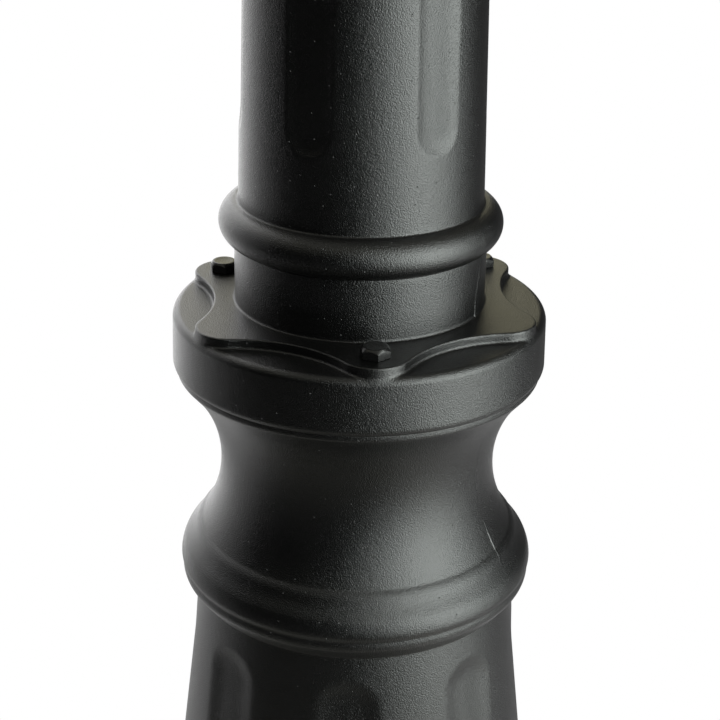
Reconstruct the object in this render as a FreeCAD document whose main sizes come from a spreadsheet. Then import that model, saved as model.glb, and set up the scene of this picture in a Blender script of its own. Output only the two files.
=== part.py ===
import FreeCAD, Part
import math
import os
import re
import Sketcher

# A cast aluminium lamp post, standing on the ground at the origin, with +Z up and its door facing -Y.

DRIVING_SIZES = {
    # Pedestal: foot, plinth and flared cone
    "foot_thickness": 12.0,
    "foot_rounding": 4.0,
    "foot_edge_width": 13.0,
    "anchor_hole_radius": 6.5,
    "anchor_land_width": 13.0,
    "plinth_step": 4.0,
    "plinth_height": 84.0,
    "plinth_bead_height": 18.0,
    "plinth_bead_bulge": 8.0,
    "plinth_cove_height": 16.0,
    "plinth_cove_sink": 3.0,
    "cone_foot_radius": 105.0,
    "cone_head_radius": 64.2,
    "cone_length": 350.0,
    "pedestal_wall": 6.0,
    # Pedestal: ring, torus, throat and lip above the cone
    "ring_radius": 67.3,
    "ring_height": 7.5,
    "torus_foot_radius": 71.0,
    "torus_head_radius": 66.0,
    "torus_height": 14.2,
    "torus_bulge": 2.4,
    "quirk_height": 6.2,
    "quirk_bulge": 0.8,
    "throat_foot_radius": 61.8,
    "throat_head_radius": 66.9,
    "throat_height": 60.9,
    "throat_sink": 9.8,
    "lip_height": 6.5,
    "rim_height": 0.7,
    "rim_inset": 0.2,
    "boss_depth": 30.0,
    # Pedestal flutes
    "cone_flute_count": 8,
    "cone_flute_turn": 7.5,
    "cone_flute_radius": 42.0,
    "cone_flute_depth": 1.6,
    "cone_flute_head_gap": 24.5,
    "cone_flute_foot_gap": 30.0,
    # Coupling flange: register, drum, lobed pad and neck
    "register_radius": 44.0,
    "register_depth": 8.0,
    "register_clearance": 0.3,
    "drum_radius": 72.4,
    "drum_draft": 0.5,
    "drum_height": 22.3,
    "drum_rounding": 3.0,
    "pad_height": 3.75,
    "pad_root": 4.0,
    "pad_edge_rounding": 0.8,
    "neck_foot_rounding": 1.4,
    "drum_foot_inset": 1.2,
    "drum_foot_height": 1.5,
    "lobe_count": 6,
    "lobe_radius": 13.0,
    "lobe_inset": 0.9,
    "scallop_depth": 15.0,
    "neck_radius": 48.0,
    "neck_height": 23.85,
    "socket_radius": 42.3,
    "socket_depth": 30.0,
    "cable_way_radius": 36.0,
    # Coupling bolts
    "bolt_count": 3,
    "bolt_circle_radius": 59.7,
    "bolt_radius": 3.0,
    "bolt_hole_clearance": 0.3,
    "bolt_thread_clearance": 0.1,
    "bolt_thread_length": 8.5,
    "bolt_hole_spare": 1.0,
    "bolt_head_corner_radius": 5.77,
    "bolt_head_height": 4.0,
    "bolt_head_chamfer": 0.6,
    "bolt_head_turn": 35.0,
    # Pole
    "pole_spigot_clearance": 0.3,
    "pole_spigot_length": 28.0,
    "pole_wall": 4.0,
    "bead_foot_radius": 47.5,
    "bead_height": 15.2,
    "bead_bulge": 6.9,
    "shaft_foot_radius": 46.3,
    "shaft_head_radius": 24.5,
    "shaft_length": 960.0,
    "pole_flute_count": 6,
    "pole_flute_radius": 35.0,
    "pole_flute_depth": 1.1,
    "pole_flute_foot_gap": 36.0,
    "pole_flute_head_gap": 60.0,
    "collar_radius": 29.0,
    "collar_height": 10.0,
    "collar_bulge": 4.0,
    "pole_head_radius": 22.0,
    "pole_head_length": 40.0,
    # Set screws in the neck and in the lantern fitter
    "set_screw_radius": 3.0,
    "set_screw_length": 5.5,
    "set_screw_key_radius": 1.73,
    "set_screw_key_depth": 2.5,
    "set_screw_drop": 12.0,
    # Lantern fitter
    "fitter_clearance": 0.3,
    "fitter_wall": 7.7,
    "fitter_collar_height": 24.0,
    "fitter_height": 62.0,
    "fitter_roof": 12.0,
    "fitter_plate_radius": 60.0,
    "fitter_plate_thickness": 6.0,
    "fitter_flare_sink": 9.0,
    "fitter_hole_radius": 18.0,
    "fitter_screw_count": 3,
    "fitter_screw_height": 14.0,
    # Lantern base
    "base_foot_apothem": 64.0,
    "base_head_apothem": 80.0,
    "base_flare_height": 11.0,
    "base_plate_thickness": 5.0,
    "base_bolt_circle_radius": 48.0,
    "base_bolt_length": 20.0,
    # Lantern cage
    "cage_foot_apothem": 74.0,
    "cage_head_apothem": 98.0,
    "cage_height": 230.0,
    "cage_wall": 6.0,
    "cage_bar_width": 10.0,
    "cage_rail_height": 13.0,
    "cage_flange_apothem": 80.0,
    "cage_flange_thickness": 4.0,
    # Glass
    "glass_thickness": 3.0,
    "glass_gap": 0.3,
    "glass_corner_gap": 2.2,
    "glass_end_gap": 0.6,
    "glazing_ring_lift": 3.0,
    "glazing_ring_height": 10.0,
    "glazing_ring_thickness": 2.0,
    "glazing_screw_length": 13.0,
    "corner_thread_length": 5.5,
    "small_screw_radius": 1.5,
    "small_screw_length": 9.0,
    "small_head_radius": 2.8,
    "small_head_height": 1.6,
    "small_head_clearance": 1.2,
    "small_screw_clearance": 0.1,
    # Door
    "door_gap": 1.4,
    "door_thickness": 5.6,
    "door_bar_width": 8.0,
    "door_glass_overlap": 3.0,
    "door_clip_width": 10.0,
    "door_clip_reach": 4.0,
    "door_clip_thickness": 1.0,
    "hinge_radius": 3.5,
    "hinge_pin_radius": 1.6,
    "hinge_pin_clearance": 0.05,
    "hinge_stand_off": 4.5,
    "hinge_knuckle_length": 9.0,
    "hinge_knuckle_gap": 0.3,
    "hinge_end_gap": 28.0,
    "hinge_pin_head": 1.2,
    "hinge_pin_head_radius": 2.6,
    "knob_radius": 5.0,
    "knob_length": 11.0,
    "knob_neck_radius": 2.5,
    "catch_width": 12.0,
    "catch_thickness": 0.8,
    # Roof and what stands on it
    "gasket_thickness": 2.0,
    "roof_eave_apothem": 113.0,
    "roof_rim_apothem": 92.0,
    "roof_eave_height": 8.0,
    "roof_shoulder_apothem": 76.0,
    "roof_shoulder_height": 30.0,
    "roof_slope_apothem": 48.0,
    "roof_slope_height": 62.0,
    "roof_crown_apothem": 30.0,
    "roof_height": 92.0,
    "roof_wall": 3.0,
    "vent_radius": 24.0,
    "vent_wall": 2.0,
    "vent_height": 24.0,
    "vent_slot_count": 8,
    "vent_slot_width": 6.0,
    "vent_slot_height": 12.0,
    "vent_cap_radius": 36.0,
    "vent_cap_height": 16.0,
    "vent_cap_rim": 3.0,
    "vent_cap_crown_radius": 9.0,
    "vent_cap_wall": 2.0,
    "vent_cap_sink": 3.0,
    "finial_foot_radius": 8.0,
    "finial_foot_height": 5.0,
    "finial_ball_radius": 14.0,
    "finial_ball_height": 24.0,
    "finial_neck_radius": 5.0,
    "finial_spire_height": 34.0,
    "finial_tip_radius": 1.2,
    "finial_bore_depth": 18.0,
    "rod_radius": 4.0,
    "rod_clearance": 0.3,
    "rod_engagement": 14.0,
    "rod_nut_corner_radius": 7.5,
    "rod_nut_height": 6.5,
    "bridge_width": 16.0,
    "bridge_thickness": 4.0,
    "bridge_end_gap": 4.0,
    "bridge_screw_inset": 5.0,
    # Lamp holder, bulb and wiring
    "bracket_width": 30.0,
    "bracket_span": 64.0,
    "bracket_height": 34.0,
    "bracket_foot": 14.0,
    "bracket_thickness": 2.0,
    "bracket_bend": 3.0,
    "holder_radius": 19.0,
    "holder_height": 46.0,
    "holder_floor": 12.0,
    "holder_shoulder_radius": 15.0,
    "holder_stem_radius": 4.8,
    "holder_stem_length": 9.0,
    "holder_nut_corner_radius": 8.5,
    "holder_nut_height": 4.0,
    "holder_bore_clearance": 0.2,
    "shell_radius": 13.9,
    "shell_wall": 0.5,
    "shell_height": 26.0,
    "cap_radius": 13.0,
    "cap_height": 24.0,
    "cap_lift": 2.0,
    "cap_tip_radius": 4.5,
    "cap_tip_height": 1.7,
    "cap_glass_radius": 9.0,
    "collar_head_radius": 21.0,
    "collar_flare_sink": 1.0,
    "bulb_collar_height": 26.0,
    "globe_radius": 30.0,
    "globe_shoulder_bulge": 3.0,
    "globe_height": 54.0,
    "terminal_length": 34.0,
    "terminal_width": 16.0,
    "terminal_height": 15.0,
    "terminal_count": 3,
    "terminal_entry_radius": 2.2,
    "terminal_screw_radius": 1.9,
    "terminal_screw_sink": 3.0,
    "terminal_offset": 42.0,
    "gland_radius": 8.0,
    "gland_flange_corner_radius": 11.5,
    "gland_flange_height": 4.5,
    "gland_bore_radius": 4.5,
    "gland_clearance": 0.2,
    "gland_dome_height": 9.0,
    "gland_dome_bulge": 1.0,
    "gland_nut_height": 4.0,
    "earth_screw_offset": 46.0,
    "earth_screw_radius": 2.5,
    "earth_head_corner_radius": 4.6,
    "earth_head_height": 3.5,
    "earth_washer_radius": 5.5,
    "earth_washer_thickness": 1.0,
}

# Proportions, each a share of the size that it stands beside in its formula
FORM_SHARES = {
    "same_place_share": 1e-6,
    "cut_reach_share": 1.2,
    "bracket_hole_share": 0.6,
    "cage_leaf_share": 0.85,
    "door_leaf_share": 0.9,
    "leaf_root_share": 0.8,
    "lower_clip_share": 0.25,
    "upper_clip_share": 0.75,
    "knob_face_share": 0.6,
    "knob_crown_share": 0.25,
    "knob_rim_share": 0.7,
    "knob_waist_share": 0.35,
    "knob_base_share": 0.15,
    "knob_seat_share": 0.8,
    "catch_root_share": 0.45,
    "slot_arch_share": 0.3,
    "wire_way_share": 0.6,
    "terminal_entry_share": 0.35,
    "terminal_well_share": 0.6,
}

TEXT_OF_SIZE = re.compile(r"[a-z]+(?:_[a-z]+)+")

document = FreeCAD.newDocument("lamp_post")
sheet = document.addObject("Spreadsheet::Sheet", "sizes")
for row, (name, number) in enumerate({**DRIVING_SIZES, **FORM_SHARES}.items(), start=1):
    sheet.set(f"A{row}", name)
    sheet.set(f"B{row}", str(number))
    sheet.setAlias(f"B{row}", name)
document.recompute()


def sized(formula):
    """The formula with each size's name pointing at its cell."""
    return TEXT_OF_SIZE.sub(lambda match: "sizes." + match.group(), formula)


def value(formula):
    """The number that a formula gives now."""
    return float(sheet.evalExpression(sized(formula)))


def bind(thing, slot, formula):
    thing.setExpression(slot, sized(formula))


def total(*formulas):
    return " + ".join(f"({formula})" for formula in formulas)


def less(first, *others):
    return f"({first})" + "".join(f" - ({other})" for other in others)


# Heights of the seats, worked out from the ground up
CONE_TOP = total("plinth_height", "cone_length")
TORUS_FOOT = total(CONE_TOP, "ring_height")
TORUS_HEAD = total(TORUS_FOOT, "torus_height")
THROAT_FOOT = total(TORUS_HEAD, "quirk_height")
THROAT_HEAD = total(THROAT_FOOT, "throat_height")
LIP_TOP = total(THROAT_HEAD, "lip_height")
SEAM = total(LIP_TOP, "rim_height")
DRUM_TOP = total(SEAM, "drum_height")
PAD_TOP = total(DRUM_TOP, "pad_height")
NECK_TOP = total(PAD_TOP, "neck_height")
SHAFT_TOP = total(NECK_TOP, "shaft_length")
COLLAR_TOP = total(SHAFT_TOP, "collar_height")
POLE_TOP = total(COLLAR_TOP, "pole_head_length")
FITTER_FOOT = total(COLLAR_TOP, "fitter_clearance")
FITTER_TOP = total(FITTER_FOOT, "fitter_height")
BASE_FLARE_TOP = total(FITTER_TOP, "base_flare_height")
BASE_TOP = total(BASE_FLARE_TOP, "base_plate_thickness")
CAGE_TOP = total(BASE_TOP, "cage_height")
PLINTH_RADIUS = total("cone_foot_radius", "plinth_step")
ANCHOR_CIRCLE = total(PLINTH_RADIUS, "anchor_land_width")
FOOT_RADIUS = total(ANCHOR_CIRCLE, "foot_edge_width")
SPIGOT_RADIUS = less("socket_radius", "pole_spigot_clearance")
FITTER_BORE = total("pole_head_radius", "fitter_clearance")


def plane(body, role):
    return next(item for item in body.Origin.OriginFeatures if item.Role == role)


def new_body(label):
    body = document.addObject("PartDesign::Body", label)
    body.Label = label
    body.AllowCompound = True
    return body


def new_sketch(body, name, role="XZ_Plane", lift=None, turn=None):
    """A sketch on one of the body's own planes, lifted off it or turned about its upright axis."""
    sketch = body.newObject("Sketcher::SketchObject", name)
    sketch.AttachmentSupport = (plane(body, role), [""])
    sketch.MapMode = "FlatFace"
    if turn:
        spin = FreeCAD.Rotation(FreeCAD.Vector(0, 1, 0), value(turn))
        sketch.AttachmentOffset = FreeCAD.Placement(FreeCAD.Vector(), spin)
    if lift:
        bind(sketch, "AttachmentOffset.Base.z", lift)
    return sketch


def hold_point(sketch, edge, end, across, up):
    """Ties a point of the sketch to two formulas, measured from the sketch's origin."""
    for kind, formula in (("DistanceX", across), ("DistanceY", up)):
        index = sketch.addConstraint(Sketcher.Constraint(kind, -1, 1, edge, end, value(formula)))
        bind(sketch, f"Constraints[{index}]", formula)


def centre_formulas(first, second, bulge):
    """The centre of the arc that stands out by bulge, on the right of the way from first to second."""
    run = f"({second[0]} - ({first[0]}))"
    rise = f"({second[1]} - ({first[1]}))"
    chord = f"sqrt({run}^2 + {rise}^2)"
    offset = f"(({chord}/2)^2 - ({bulge})^2)/(2*({bulge}))"
    across = f"({first[0]} + {second[0]})/2 - {rise}/{chord}*{offset}"
    up = f"({first[1]} + {second[1]})/2 + {run}/{chord}*{offset}"
    return across, up


def outline(sketch, corners):
    """A closed outline through corners, each (across, up) or (across, up, bulge of the edge that follows)."""
    texts = [(f"({corner[0]})", f"({corner[1]})") for corner in corners]
    points = [FreeCAD.Vector(value(across), value(up), 0) for across, up in texts]
    starts = []
    ends = []
    for number, corner in enumerate(corners):
        after = (number + 1) % len(corners)
        first = points[number]
        second = points[after]
        if len(corner) == 2:
            edge = sketch.addGeometry(Part.LineSegment(first, second), False)
            starts.append((edge, 1))
            ends.append((edge, 2))
            continue
        bulge = corner[2]
        across, up = centre_formulas(texts[number], texts[after], bulge)
        centre = FreeCAD.Vector(value(across), value(up), 0)
        circle = Part.Circle(centre, FreeCAD.Vector(0, 0, 1), (first - centre).Length)
        angles = [math.atan2(point.y - centre.y, point.x - centre.x) for point in (first, second)]
        outward = value(bulge) > 0
        if not outward:
            angles.reverse()
        edge = sketch.addGeometry(Part.ArcOfCircle(circle, *angles), False)
        starts.append((edge, 1 if outward else 2))
        ends.append((edge, 2 if outward else 1))
        chord = second - first
        kind, formula = ("DistanceX", across) if abs(chord.y) > abs(chord.x) else ("DistanceY", up)
        index = sketch.addConstraint(Sketcher.Constraint(kind, -1, 1, edge, 3, value(formula)))
        bind(sketch, f"Constraints[{index}]", formula)
    for number, (across, up) in enumerate(texts):
        hold_point(sketch, *starts[number], across, up)
        after = (number + 1) % len(corners)
        sketch.addConstraint(Sketcher.Constraint("Coincident", *ends[number], *starts[after]))
    return sketch


def ring(sketch, radius, across="0", up="0"):
    """A circle whose centre and radius follow formulas."""
    centre = FreeCAD.Vector(value(across), value(up), 0)
    edge = sketch.addGeometry(Part.Circle(centre, FreeCAD.Vector(0, 0, 1), value(radius)), False)
    index = sketch.addConstraint(Sketcher.Constraint("Radius", edge, value(radius)))
    bind(sketch, f"Constraints[{index}]", radius)
    hold_point(sketch, edge, 3, across, up)
    return sketch


def polygon_corners(sides, corner_radius, across="0", up="0", turn="0"):
    """Corners of a regular polygon round a centre, the first at the given angle from the across axis."""
    corners = []
    for number in range(sides):
        angle = f"({turn}) + 360*{number}/{sides}"
        run = f"({corner_radius})*cos({angle})"
        rise = f"({corner_radius})*sin({angle})"
        corners.append((f"{across} + {run}", f"{up} + {rise}"))
    return corners


def hexagon(sketch, apothem):
    """A hexagon with flat sides to the front and back."""
    return outline(sketch, polygon_corners(6, f"({apothem})/cos(30)"))


def feature(body, kind, name, sketch, length=None, backwards=False, midplane=False):
    item = body.newObject(f"PartDesign::{kind}", name)
    item.Profile = sketch
    if kind in ("Revolution", "Groove"):
        item.Angle = 360
        item.ReferenceAxis = (sketch, ["V_Axis"])
    else:
        bind(item, "Length", length)
        item.Reversed = backwards
        item.Midplane = midplane
    document.recompute()
    return item


def turned(body, name, corners, kind="Revolution"):
    """A solid or a groove turned about the upright axis."""
    sketch = outline(new_sketch(body, name + "_outline"), corners)
    return feature(body, kind, name, sketch)


def turned_about_line(body, name, sketch, corners, start, end, kind):
    """A solid or a groove turned about a slanted line of its own sketch."""
    outline(sketch, corners)
    first, second = (FreeCAD.Vector(value(across), value(up), 0) for across, up in (start, end))
    edge = sketch.addGeometry(Part.LineSegment(first, second), True)
    hold_point(sketch, edge, 1, *start)
    hold_point(sketch, edge, 2, *end)
    item = body.newObject(f"PartDesign::{kind}", name)
    item.Profile = sketch
    item.ReferenceAxis = (sketch, ["Axis0"])
    item.Angle = 360
    document.recompute()
    return item


def round_the_axis(body, name, features, count):
    """Repeats features evenly round the post's axis."""
    pattern = body.newObject("PartDesign::PolarPattern", name)
    pattern.Originals = features
    pattern.Axis = (plane(body, "Z_Axis"), [""])
    pattern.Angle = 360
    bind(pattern, "Occurrences", count)
    body.Tip = pattern
    document.recompute()
    return pattern


def cut_flutes(body, name, foot, head, foot_gap, head_gap, radius, depth, count, turn=None):
    """Round-ended flutes along a tapered shaft, each a capsule lying just under the surface."""
    run = f"({less(head[0], foot[0])})"
    rise = f"({less(head[1], foot[1])})"
    slant = f"sqrt({run}^2 + {rise}^2)"
    lean = (f"({run}/{slant})", f"({rise}/{slant})")
    out = (lean[1], f"(0 - {lean[0]})")
    stand = f"(({radius}) - ({depth}))"

    def on_line(anchor, along, outward):
        return tuple(f"({anchor[i]}) + {lean[i]}*({along}) + {out[i]}*({outward})" for i in (0, 1))

    first = on_line(foot, foot_gap, stand)
    second = on_line(foot, f"{slant} - ({head_gap})", stand)
    quarter = f"({radius})*(1 - cos(45))"
    corners = [
        on_line(first, f"0 - ({radius})", "0") + (quarter,),
        on_line(first, "0", radius),
        on_line(second, "0", radius) + (quarter,),
        on_line(second, radius, "0"),
    ]
    sketch = new_sketch(body, name + "_outline", turn=turn)
    flute = turned_about_line(body, name, sketch, corners, first, second, "Groove")
    return round_the_axis(body, name + "_pattern", [flute], count)


# The pedestal: one hollow casting, from the anchor flange to the rim that carries the coupling


def make_pedestal():
    body = new_body("pedestal")
    plinth_bead_foot = less("plinth_height", "plinth_bead_height")
    cove_foot = less(plinth_bead_foot, "plinth_cove_height")
    bore = less("cone_foot_radius", "pedestal_wall")
    boss_foot = less(SEAM, "boss_depth")
    throat_middle = total(THROAT_FOOT, "throat_height/2")
    throat_radius = less("(throat_foot_radius + throat_head_radius)/2", "throat_sink", "pedestal_wall")
    rim_radius = less("drum_radius", "drum_foot_inset", "rim_inset")
    turned(body, "casting", [
        (bore, "0"),
        (FOOT_RADIUS, "0"),
        (FOOT_RADIUS, "foot_thickness - foot_rounding", "foot_rounding*(1 - cos(45))"),
        (less(FOOT_RADIUS, "foot_rounding"), "foot_thickness"),
        (total(PLINTH_RADIUS, "foot_rounding"), "foot_thickness", "0 - foot_rounding*(1 - cos(45))"),
        (PLINTH_RADIUS, "foot_thickness + foot_rounding"),
        (PLINTH_RADIUS, cove_foot, "0 - plinth_cove_sink"),
        ("cone_foot_radius", plinth_bead_foot, "plinth_bead_bulge"),
        ("cone_foot_radius", "plinth_height"),
        ("cone_head_radius", CONE_TOP),
        ("ring_radius", CONE_TOP),
        ("torus_foot_radius", TORUS_FOOT, "torus_bulge"),
        ("torus_head_radius", TORUS_HEAD, "quirk_bulge"),
        ("throat_foot_radius", THROAT_FOOT, "0 - throat_sink"),
        ("throat_head_radius", THROAT_HEAD),
        (rim_radius, LIP_TOP),
        (rim_radius, SEAM),
        ("register_radius", SEAM),
        ("register_radius", boss_foot),
        (throat_radius, throat_middle),
        ("cone_head_radius - pedestal_wall", CONE_TOP),
        (bore, "plinth_height"),
    ])
    cut_flutes(
        body, "flute", ("cone_foot_radius", "plinth_height"), ("cone_head_radius", CONE_TOP),
        "cone_flute_foot_gap", "cone_flute_head_gap", "cone_flute_radius", "cone_flute_depth",
        "cone_flute_count", turn="0 - cone_flute_turn",
    )
    sketch = new_sketch(body, "anchor_hole_outline", "XY_Plane")
    ring(sketch, "anchor_hole_radius", ANCHOR_CIRCLE)
    hole = feature(body, "Pocket", "anchor_hole", sketch, "foot_thickness", backwards=True)
    round_the_axis(body, "anchor_holes", [hole], "4")
    sketch = new_sketch(body, "thread_outline", "XY_Plane", lift=SEAM)
    ring(sketch, "bolt_radius + bolt_thread_clearance", "0", "0 - bolt_circle_radius")
    hole = feature(body, "Pocket", "thread", sketch, "bolt_thread_length + bolt_hole_spare")
    round_the_axis(body, "threads", [hole], "bolt_count")
    return body


# The coupling flange: register, drum, lobed pad and the neck that takes the pole


LOBE_REACH = less("drum_radius", "drum_draft", "lobe_inset")
LOBE_CENTRE = less(LOBE_REACH, "lobe_radius")
SCALLOP_RADIUS = less(LOBE_REACH, "scallop_depth")


def same(place, formula):
    return math.isclose(place, value(formula), rel_tol=value("same_place_share"))


def round_edges(body, name, radius, wanted):
    """Rounds the edges whose middle, given as its distance from the axis and its height, passes a test."""
    base = body.Tip
    edges = []
    for number, edge in enumerate(base.Shape.Edges, start=1):
        start, end = edge.ParameterRange
        middle = edge.valueAt((start + end)/2)
        if wanted(math.hypot(middle.x, middle.y), middle.z):
            edges.append(f"Edge{number}")
    fillet = body.newObject("PartDesign::Fillet", name)
    fillet.Base = (base, edges)
    bind(fillet, "Radius", radius)
    body.Tip = fillet
    document.recompute()
    return fillet


def lobed_outline(sketch):
    """Round lobes and the hollows between them, each arc running smoothly into the next."""
    half = "180/lobe_count"
    rise = f"(({SCALLOP_RADIUS}) - ({LOBE_CENTRE})*cos({half}))"
    spread = f"(({SCALLOP_RADIUS})^2 + ({LOBE_CENTRE})^2 - 2*({SCALLOP_RADIUS})*({LOBE_CENTRE})*cos({half}))"
    hollow = f"(({spread} - lobe_radius^2)/(2*(lobe_radius - {rise})))"
    share = f"(lobe_radius/(lobe_radius + {hollow}))"
    hollow_centre = f"({SCALLOP_RADIUS} + {hollow})"
    along = f"({LOBE_CENTRE} + {share}*({hollow_centre}*cos({half}) - ({LOBE_CENTRE})))"
    aside = f"({share}*{hollow_centre}*sin({half}))"
    crown = f"({LOBE_REACH}) - {along}"
    dip = f"({SCALLOP_RADIUS}) - ({along}*cos({half}) + {aside}*sin({half}))"
    corners = []
    for number in range(int(value("lobe_count"))):
        turn = f"({number}*360/lobe_count - 90)"
        corners.append((
            f"{along}*cos({turn}) + {aside}*sin({turn})",
            f"{along}*sin({turn}) - {aside}*cos({turn})",
            crown,
        ))
        corners.append((
            f"{along}*cos({turn}) - {aside}*sin({turn})",
            f"{along}*sin({turn}) + {aside}*cos({turn})",
            dip,
        ))
    return outline(sketch, corners)


def make_coupling_flange():
    body = new_body("coupling_flange")
    register_foot = less(SEAM, "register_depth")
    socket_foot = less(NECK_TOP, "socket_depth")
    drum_head = less("drum_radius", "drum_draft")
    turned(body, "casting", [
        ("cable_way_radius", register_foot),
        ("register_radius - register_clearance", register_foot),
        ("register_radius - register_clearance", SEAM),
        (less("drum_radius", "drum_foot_inset"), SEAM),
        ("drum_radius", total(SEAM, "drum_foot_height")),
        (drum_head, less(DRUM_TOP, "drum_rounding"), "drum_rounding*(1 - cos(45))"),
        (less(drum_head, "drum_rounding"), DRUM_TOP),
        ("neck_radius", DRUM_TOP),
        ("neck_radius", NECK_TOP),
        ("socket_radius", NECK_TOP),
        ("socket_radius", socket_foot),
        ("cable_way_radius", socket_foot),
    ])
    sketch = lobed_outline(new_sketch(body, "pad_outline", "XY_Plane", lift=less(DRUM_TOP, "pad_root")))
    ring(sketch, "(neck_radius + socket_radius)/2")
    feature(body, "Pad", "pad", sketch, "pad_root + pad_height")
    round_edges(body, "pad_edge", "pad_edge_rounding",
                lambda out, up: same(up, PAD_TOP) and out > value(f"(neck_radius + {SCALLOP_RADIUS})/2"))
    round_edges(body, "neck_foot", "neck_foot_rounding",
                lambda out, up: same(up, PAD_TOP) and same(out, "neck_radius"))
    sketch = new_sketch(body, "bolt_hole_outline", "XY_Plane", lift=PAD_TOP)
    ring(sketch, "bolt_radius + bolt_hole_clearance", "0", "0 - bolt_circle_radius")
    hole = feature(body, "Pocket", "bolt_hole", sketch, "pad_height + drum_height + register_depth")
    round_the_axis(body, "bolt_holes", [hole], "bolt_count")
    sketch = new_sketch(body, "set_screw_outline")
    ring(sketch, "set_screw_radius + bolt_thread_clearance", "0", less(NECK_TOP, "set_screw_drop"))
    feature(body, "Pocket", "set_screw_hole", sketch, "neck_radius*2")
    return body


def make_pole():
    body = new_body("pole")
    spigot_foot = less(NECK_TOP, "pole_spigot_length")
    bore_foot = less(SPIGOT_RADIUS, "pole_wall")
    bore_head = less("pole_head_radius", "pole_wall")
    taper_top = less(SHAFT_TOP, "collar_height")
    turned(body, "casting", [
        (bore_foot, spigot_foot),
        (SPIGOT_RADIUS, spigot_foot),
        (SPIGOT_RADIUS, NECK_TOP),
        ("bead_foot_radius", NECK_TOP, "bead_bulge"),
        ("shaft_foot_radius", total(NECK_TOP, "bead_height")),
        ("shaft_head_radius", SHAFT_TOP),
        ("collar_radius", SHAFT_TOP, "collar_bulge"),
        ("collar_radius", COLLAR_TOP),
        ("pole_head_radius", COLLAR_TOP),
        ("pole_head_radius", POLE_TOP),
        (bore_head, POLE_TOP),
        (bore_head, taper_top),
        (bore_foot, total(NECK_TOP, "bead_height")),
    ])
    shaft_foot = ("shaft_foot_radius", total(NECK_TOP, "bead_height"))
    cut_flutes(
        body, "flute", shaft_foot, ("shaft_head_radius", SHAFT_TOP),
        "pole_flute_foot_gap", "pole_flute_head_gap", "pole_flute_radius", "pole_flute_depth",
        "pole_flute_count",
    )
    return body


# The lantern fitter: a cup that slips over the pole's head and carries the lantern on its plate


def screw_hole(body, name, radius, reach, height, count):
    """Holes that run out from the axis towards the back, and on round the axis."""
    sketch = ring(new_sketch(body, name + "_outline"), radius, "0", height)
    hole = feature(body, "Pocket", name, sketch, reach)
    return round_the_axis(body, name + "_pattern", [hole], count)


def make_set_screws(label, seat, height, count):
    """Socket set screws whose points reach seat, a distance from the axis, behind the post."""
    body = new_body(label)
    outer = total(seat, "set_screw_length")
    sketch = new_sketch(body, "screw_outline", "YZ_Plane")
    screw = turned_about_line(body, "screw", sketch, [
        (seat, height),
        (less(outer, "set_screw_key_depth"), height),
        (less(outer, "set_screw_key_depth"), total(height, "set_screw_key_radius")),
        (outer, total(height, "set_screw_key_radius")),
        (outer, total(height, "set_screw_radius")),
        (seat, total(height, "set_screw_radius")),
    ], (seat, height), (outer, height), "Revolution")
    if count:
        round_the_axis(body, "screws", [screw], count)
    return body


def make_lantern_fitter():
    body = new_body("lantern_fitter")
    wall = total(FITTER_BORE, "fitter_wall")
    plate_foot = less(FITTER_TOP, "fitter_plate_thickness")
    ceiling = less(FITTER_TOP, "fitter_roof")
    turned(body, "casting", [
        (FITTER_BORE, FITTER_FOOT),
        (wall, FITTER_FOOT),
        (wall, total(FITTER_FOOT, "fitter_collar_height"), "0 - fitter_flare_sink"),
        ("fitter_plate_radius", plate_foot),
        ("fitter_plate_radius", FITTER_TOP),
        ("fitter_hole_radius", FITTER_TOP),
        ("fitter_hole_radius", ceiling),
        (FITTER_BORE, ceiling),
    ])
    height = total(FITTER_FOOT, "fitter_screw_height")
    screw_hole(body, "screw_hole", "set_screw_radius + bolt_thread_clearance", wall, height,
               "fitter_screw_count")
    sketch = new_sketch(body, "thread_outline", "XY_Plane", lift=FITTER_TOP)
    ring(sketch, "bolt_radius + bolt_thread_clearance", "0", "0 - base_bolt_circle_radius")
    hole = feature(body, "Pocket", "thread", sketch, "fitter_plate_thickness + fitter_roof")
    round_the_axis(body, "threads", [hole], "bolt_count")
    return body


def hex_bolts(label, circle, seat, length, count):
    """Hexagon bolts standing on seat, evenly round the axis, the first at the front."""
    body = new_body(label)
    head_top = total(seat, "bolt_head_height")
    sketch = new_sketch(body, "head_outline", "XY_Plane", lift=seat)
    outline(sketch, polygon_corners(6, "bolt_head_corner_radius", "0", f"(0 - {circle})", "bolt_head_turn"))
    head = feature(body, "Pad", "head", sketch, "bolt_head_height")
    sketch = new_sketch(body, "chamfer_outline", "YZ_Plane")
    corner = f"0 - {circle} + bolt_head_corner_radius"
    chamfer = turned_about_line(body, "chamfer", sketch, [
        (less(corner, "2*bolt_head_chamfer"), head_top),
        (corner, less(head_top, "bolt_head_chamfer")),
        (corner, head_top),
    ], (f"0 - {circle}", seat), (f"0 - {circle}", head_top), "Groove")
    sketch = new_sketch(body, "shank_outline", "XY_Plane", lift=seat)
    ring(sketch, "bolt_radius", "0", f"0 - {circle}")
    shank = feature(body, "Pad", "shank", sketch, length, backwards=True)
    round_the_axis(body, "bolts", [head, chamfer, shank], count)
    return body


# The lantern base: a flared six-sided tray


def loft(body, kind, name, sections):
    """A loft through hexagons, each (apothem, height)."""
    sketches = []
    for number, (apothem, height) in enumerate(sections):
        sketch = new_sketch(body, f"{name}_section_{number}", "XY_Plane", lift=height)
        sketches.append(hexagon(sketch, apothem))
    item = body.newObject(f"PartDesign::{kind}", name)
    item.Profile = sketches[0]
    item.Sections = sketches[1:]
    item.Ruled = len(sections) == 2
    document.recompute()
    return item


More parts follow.
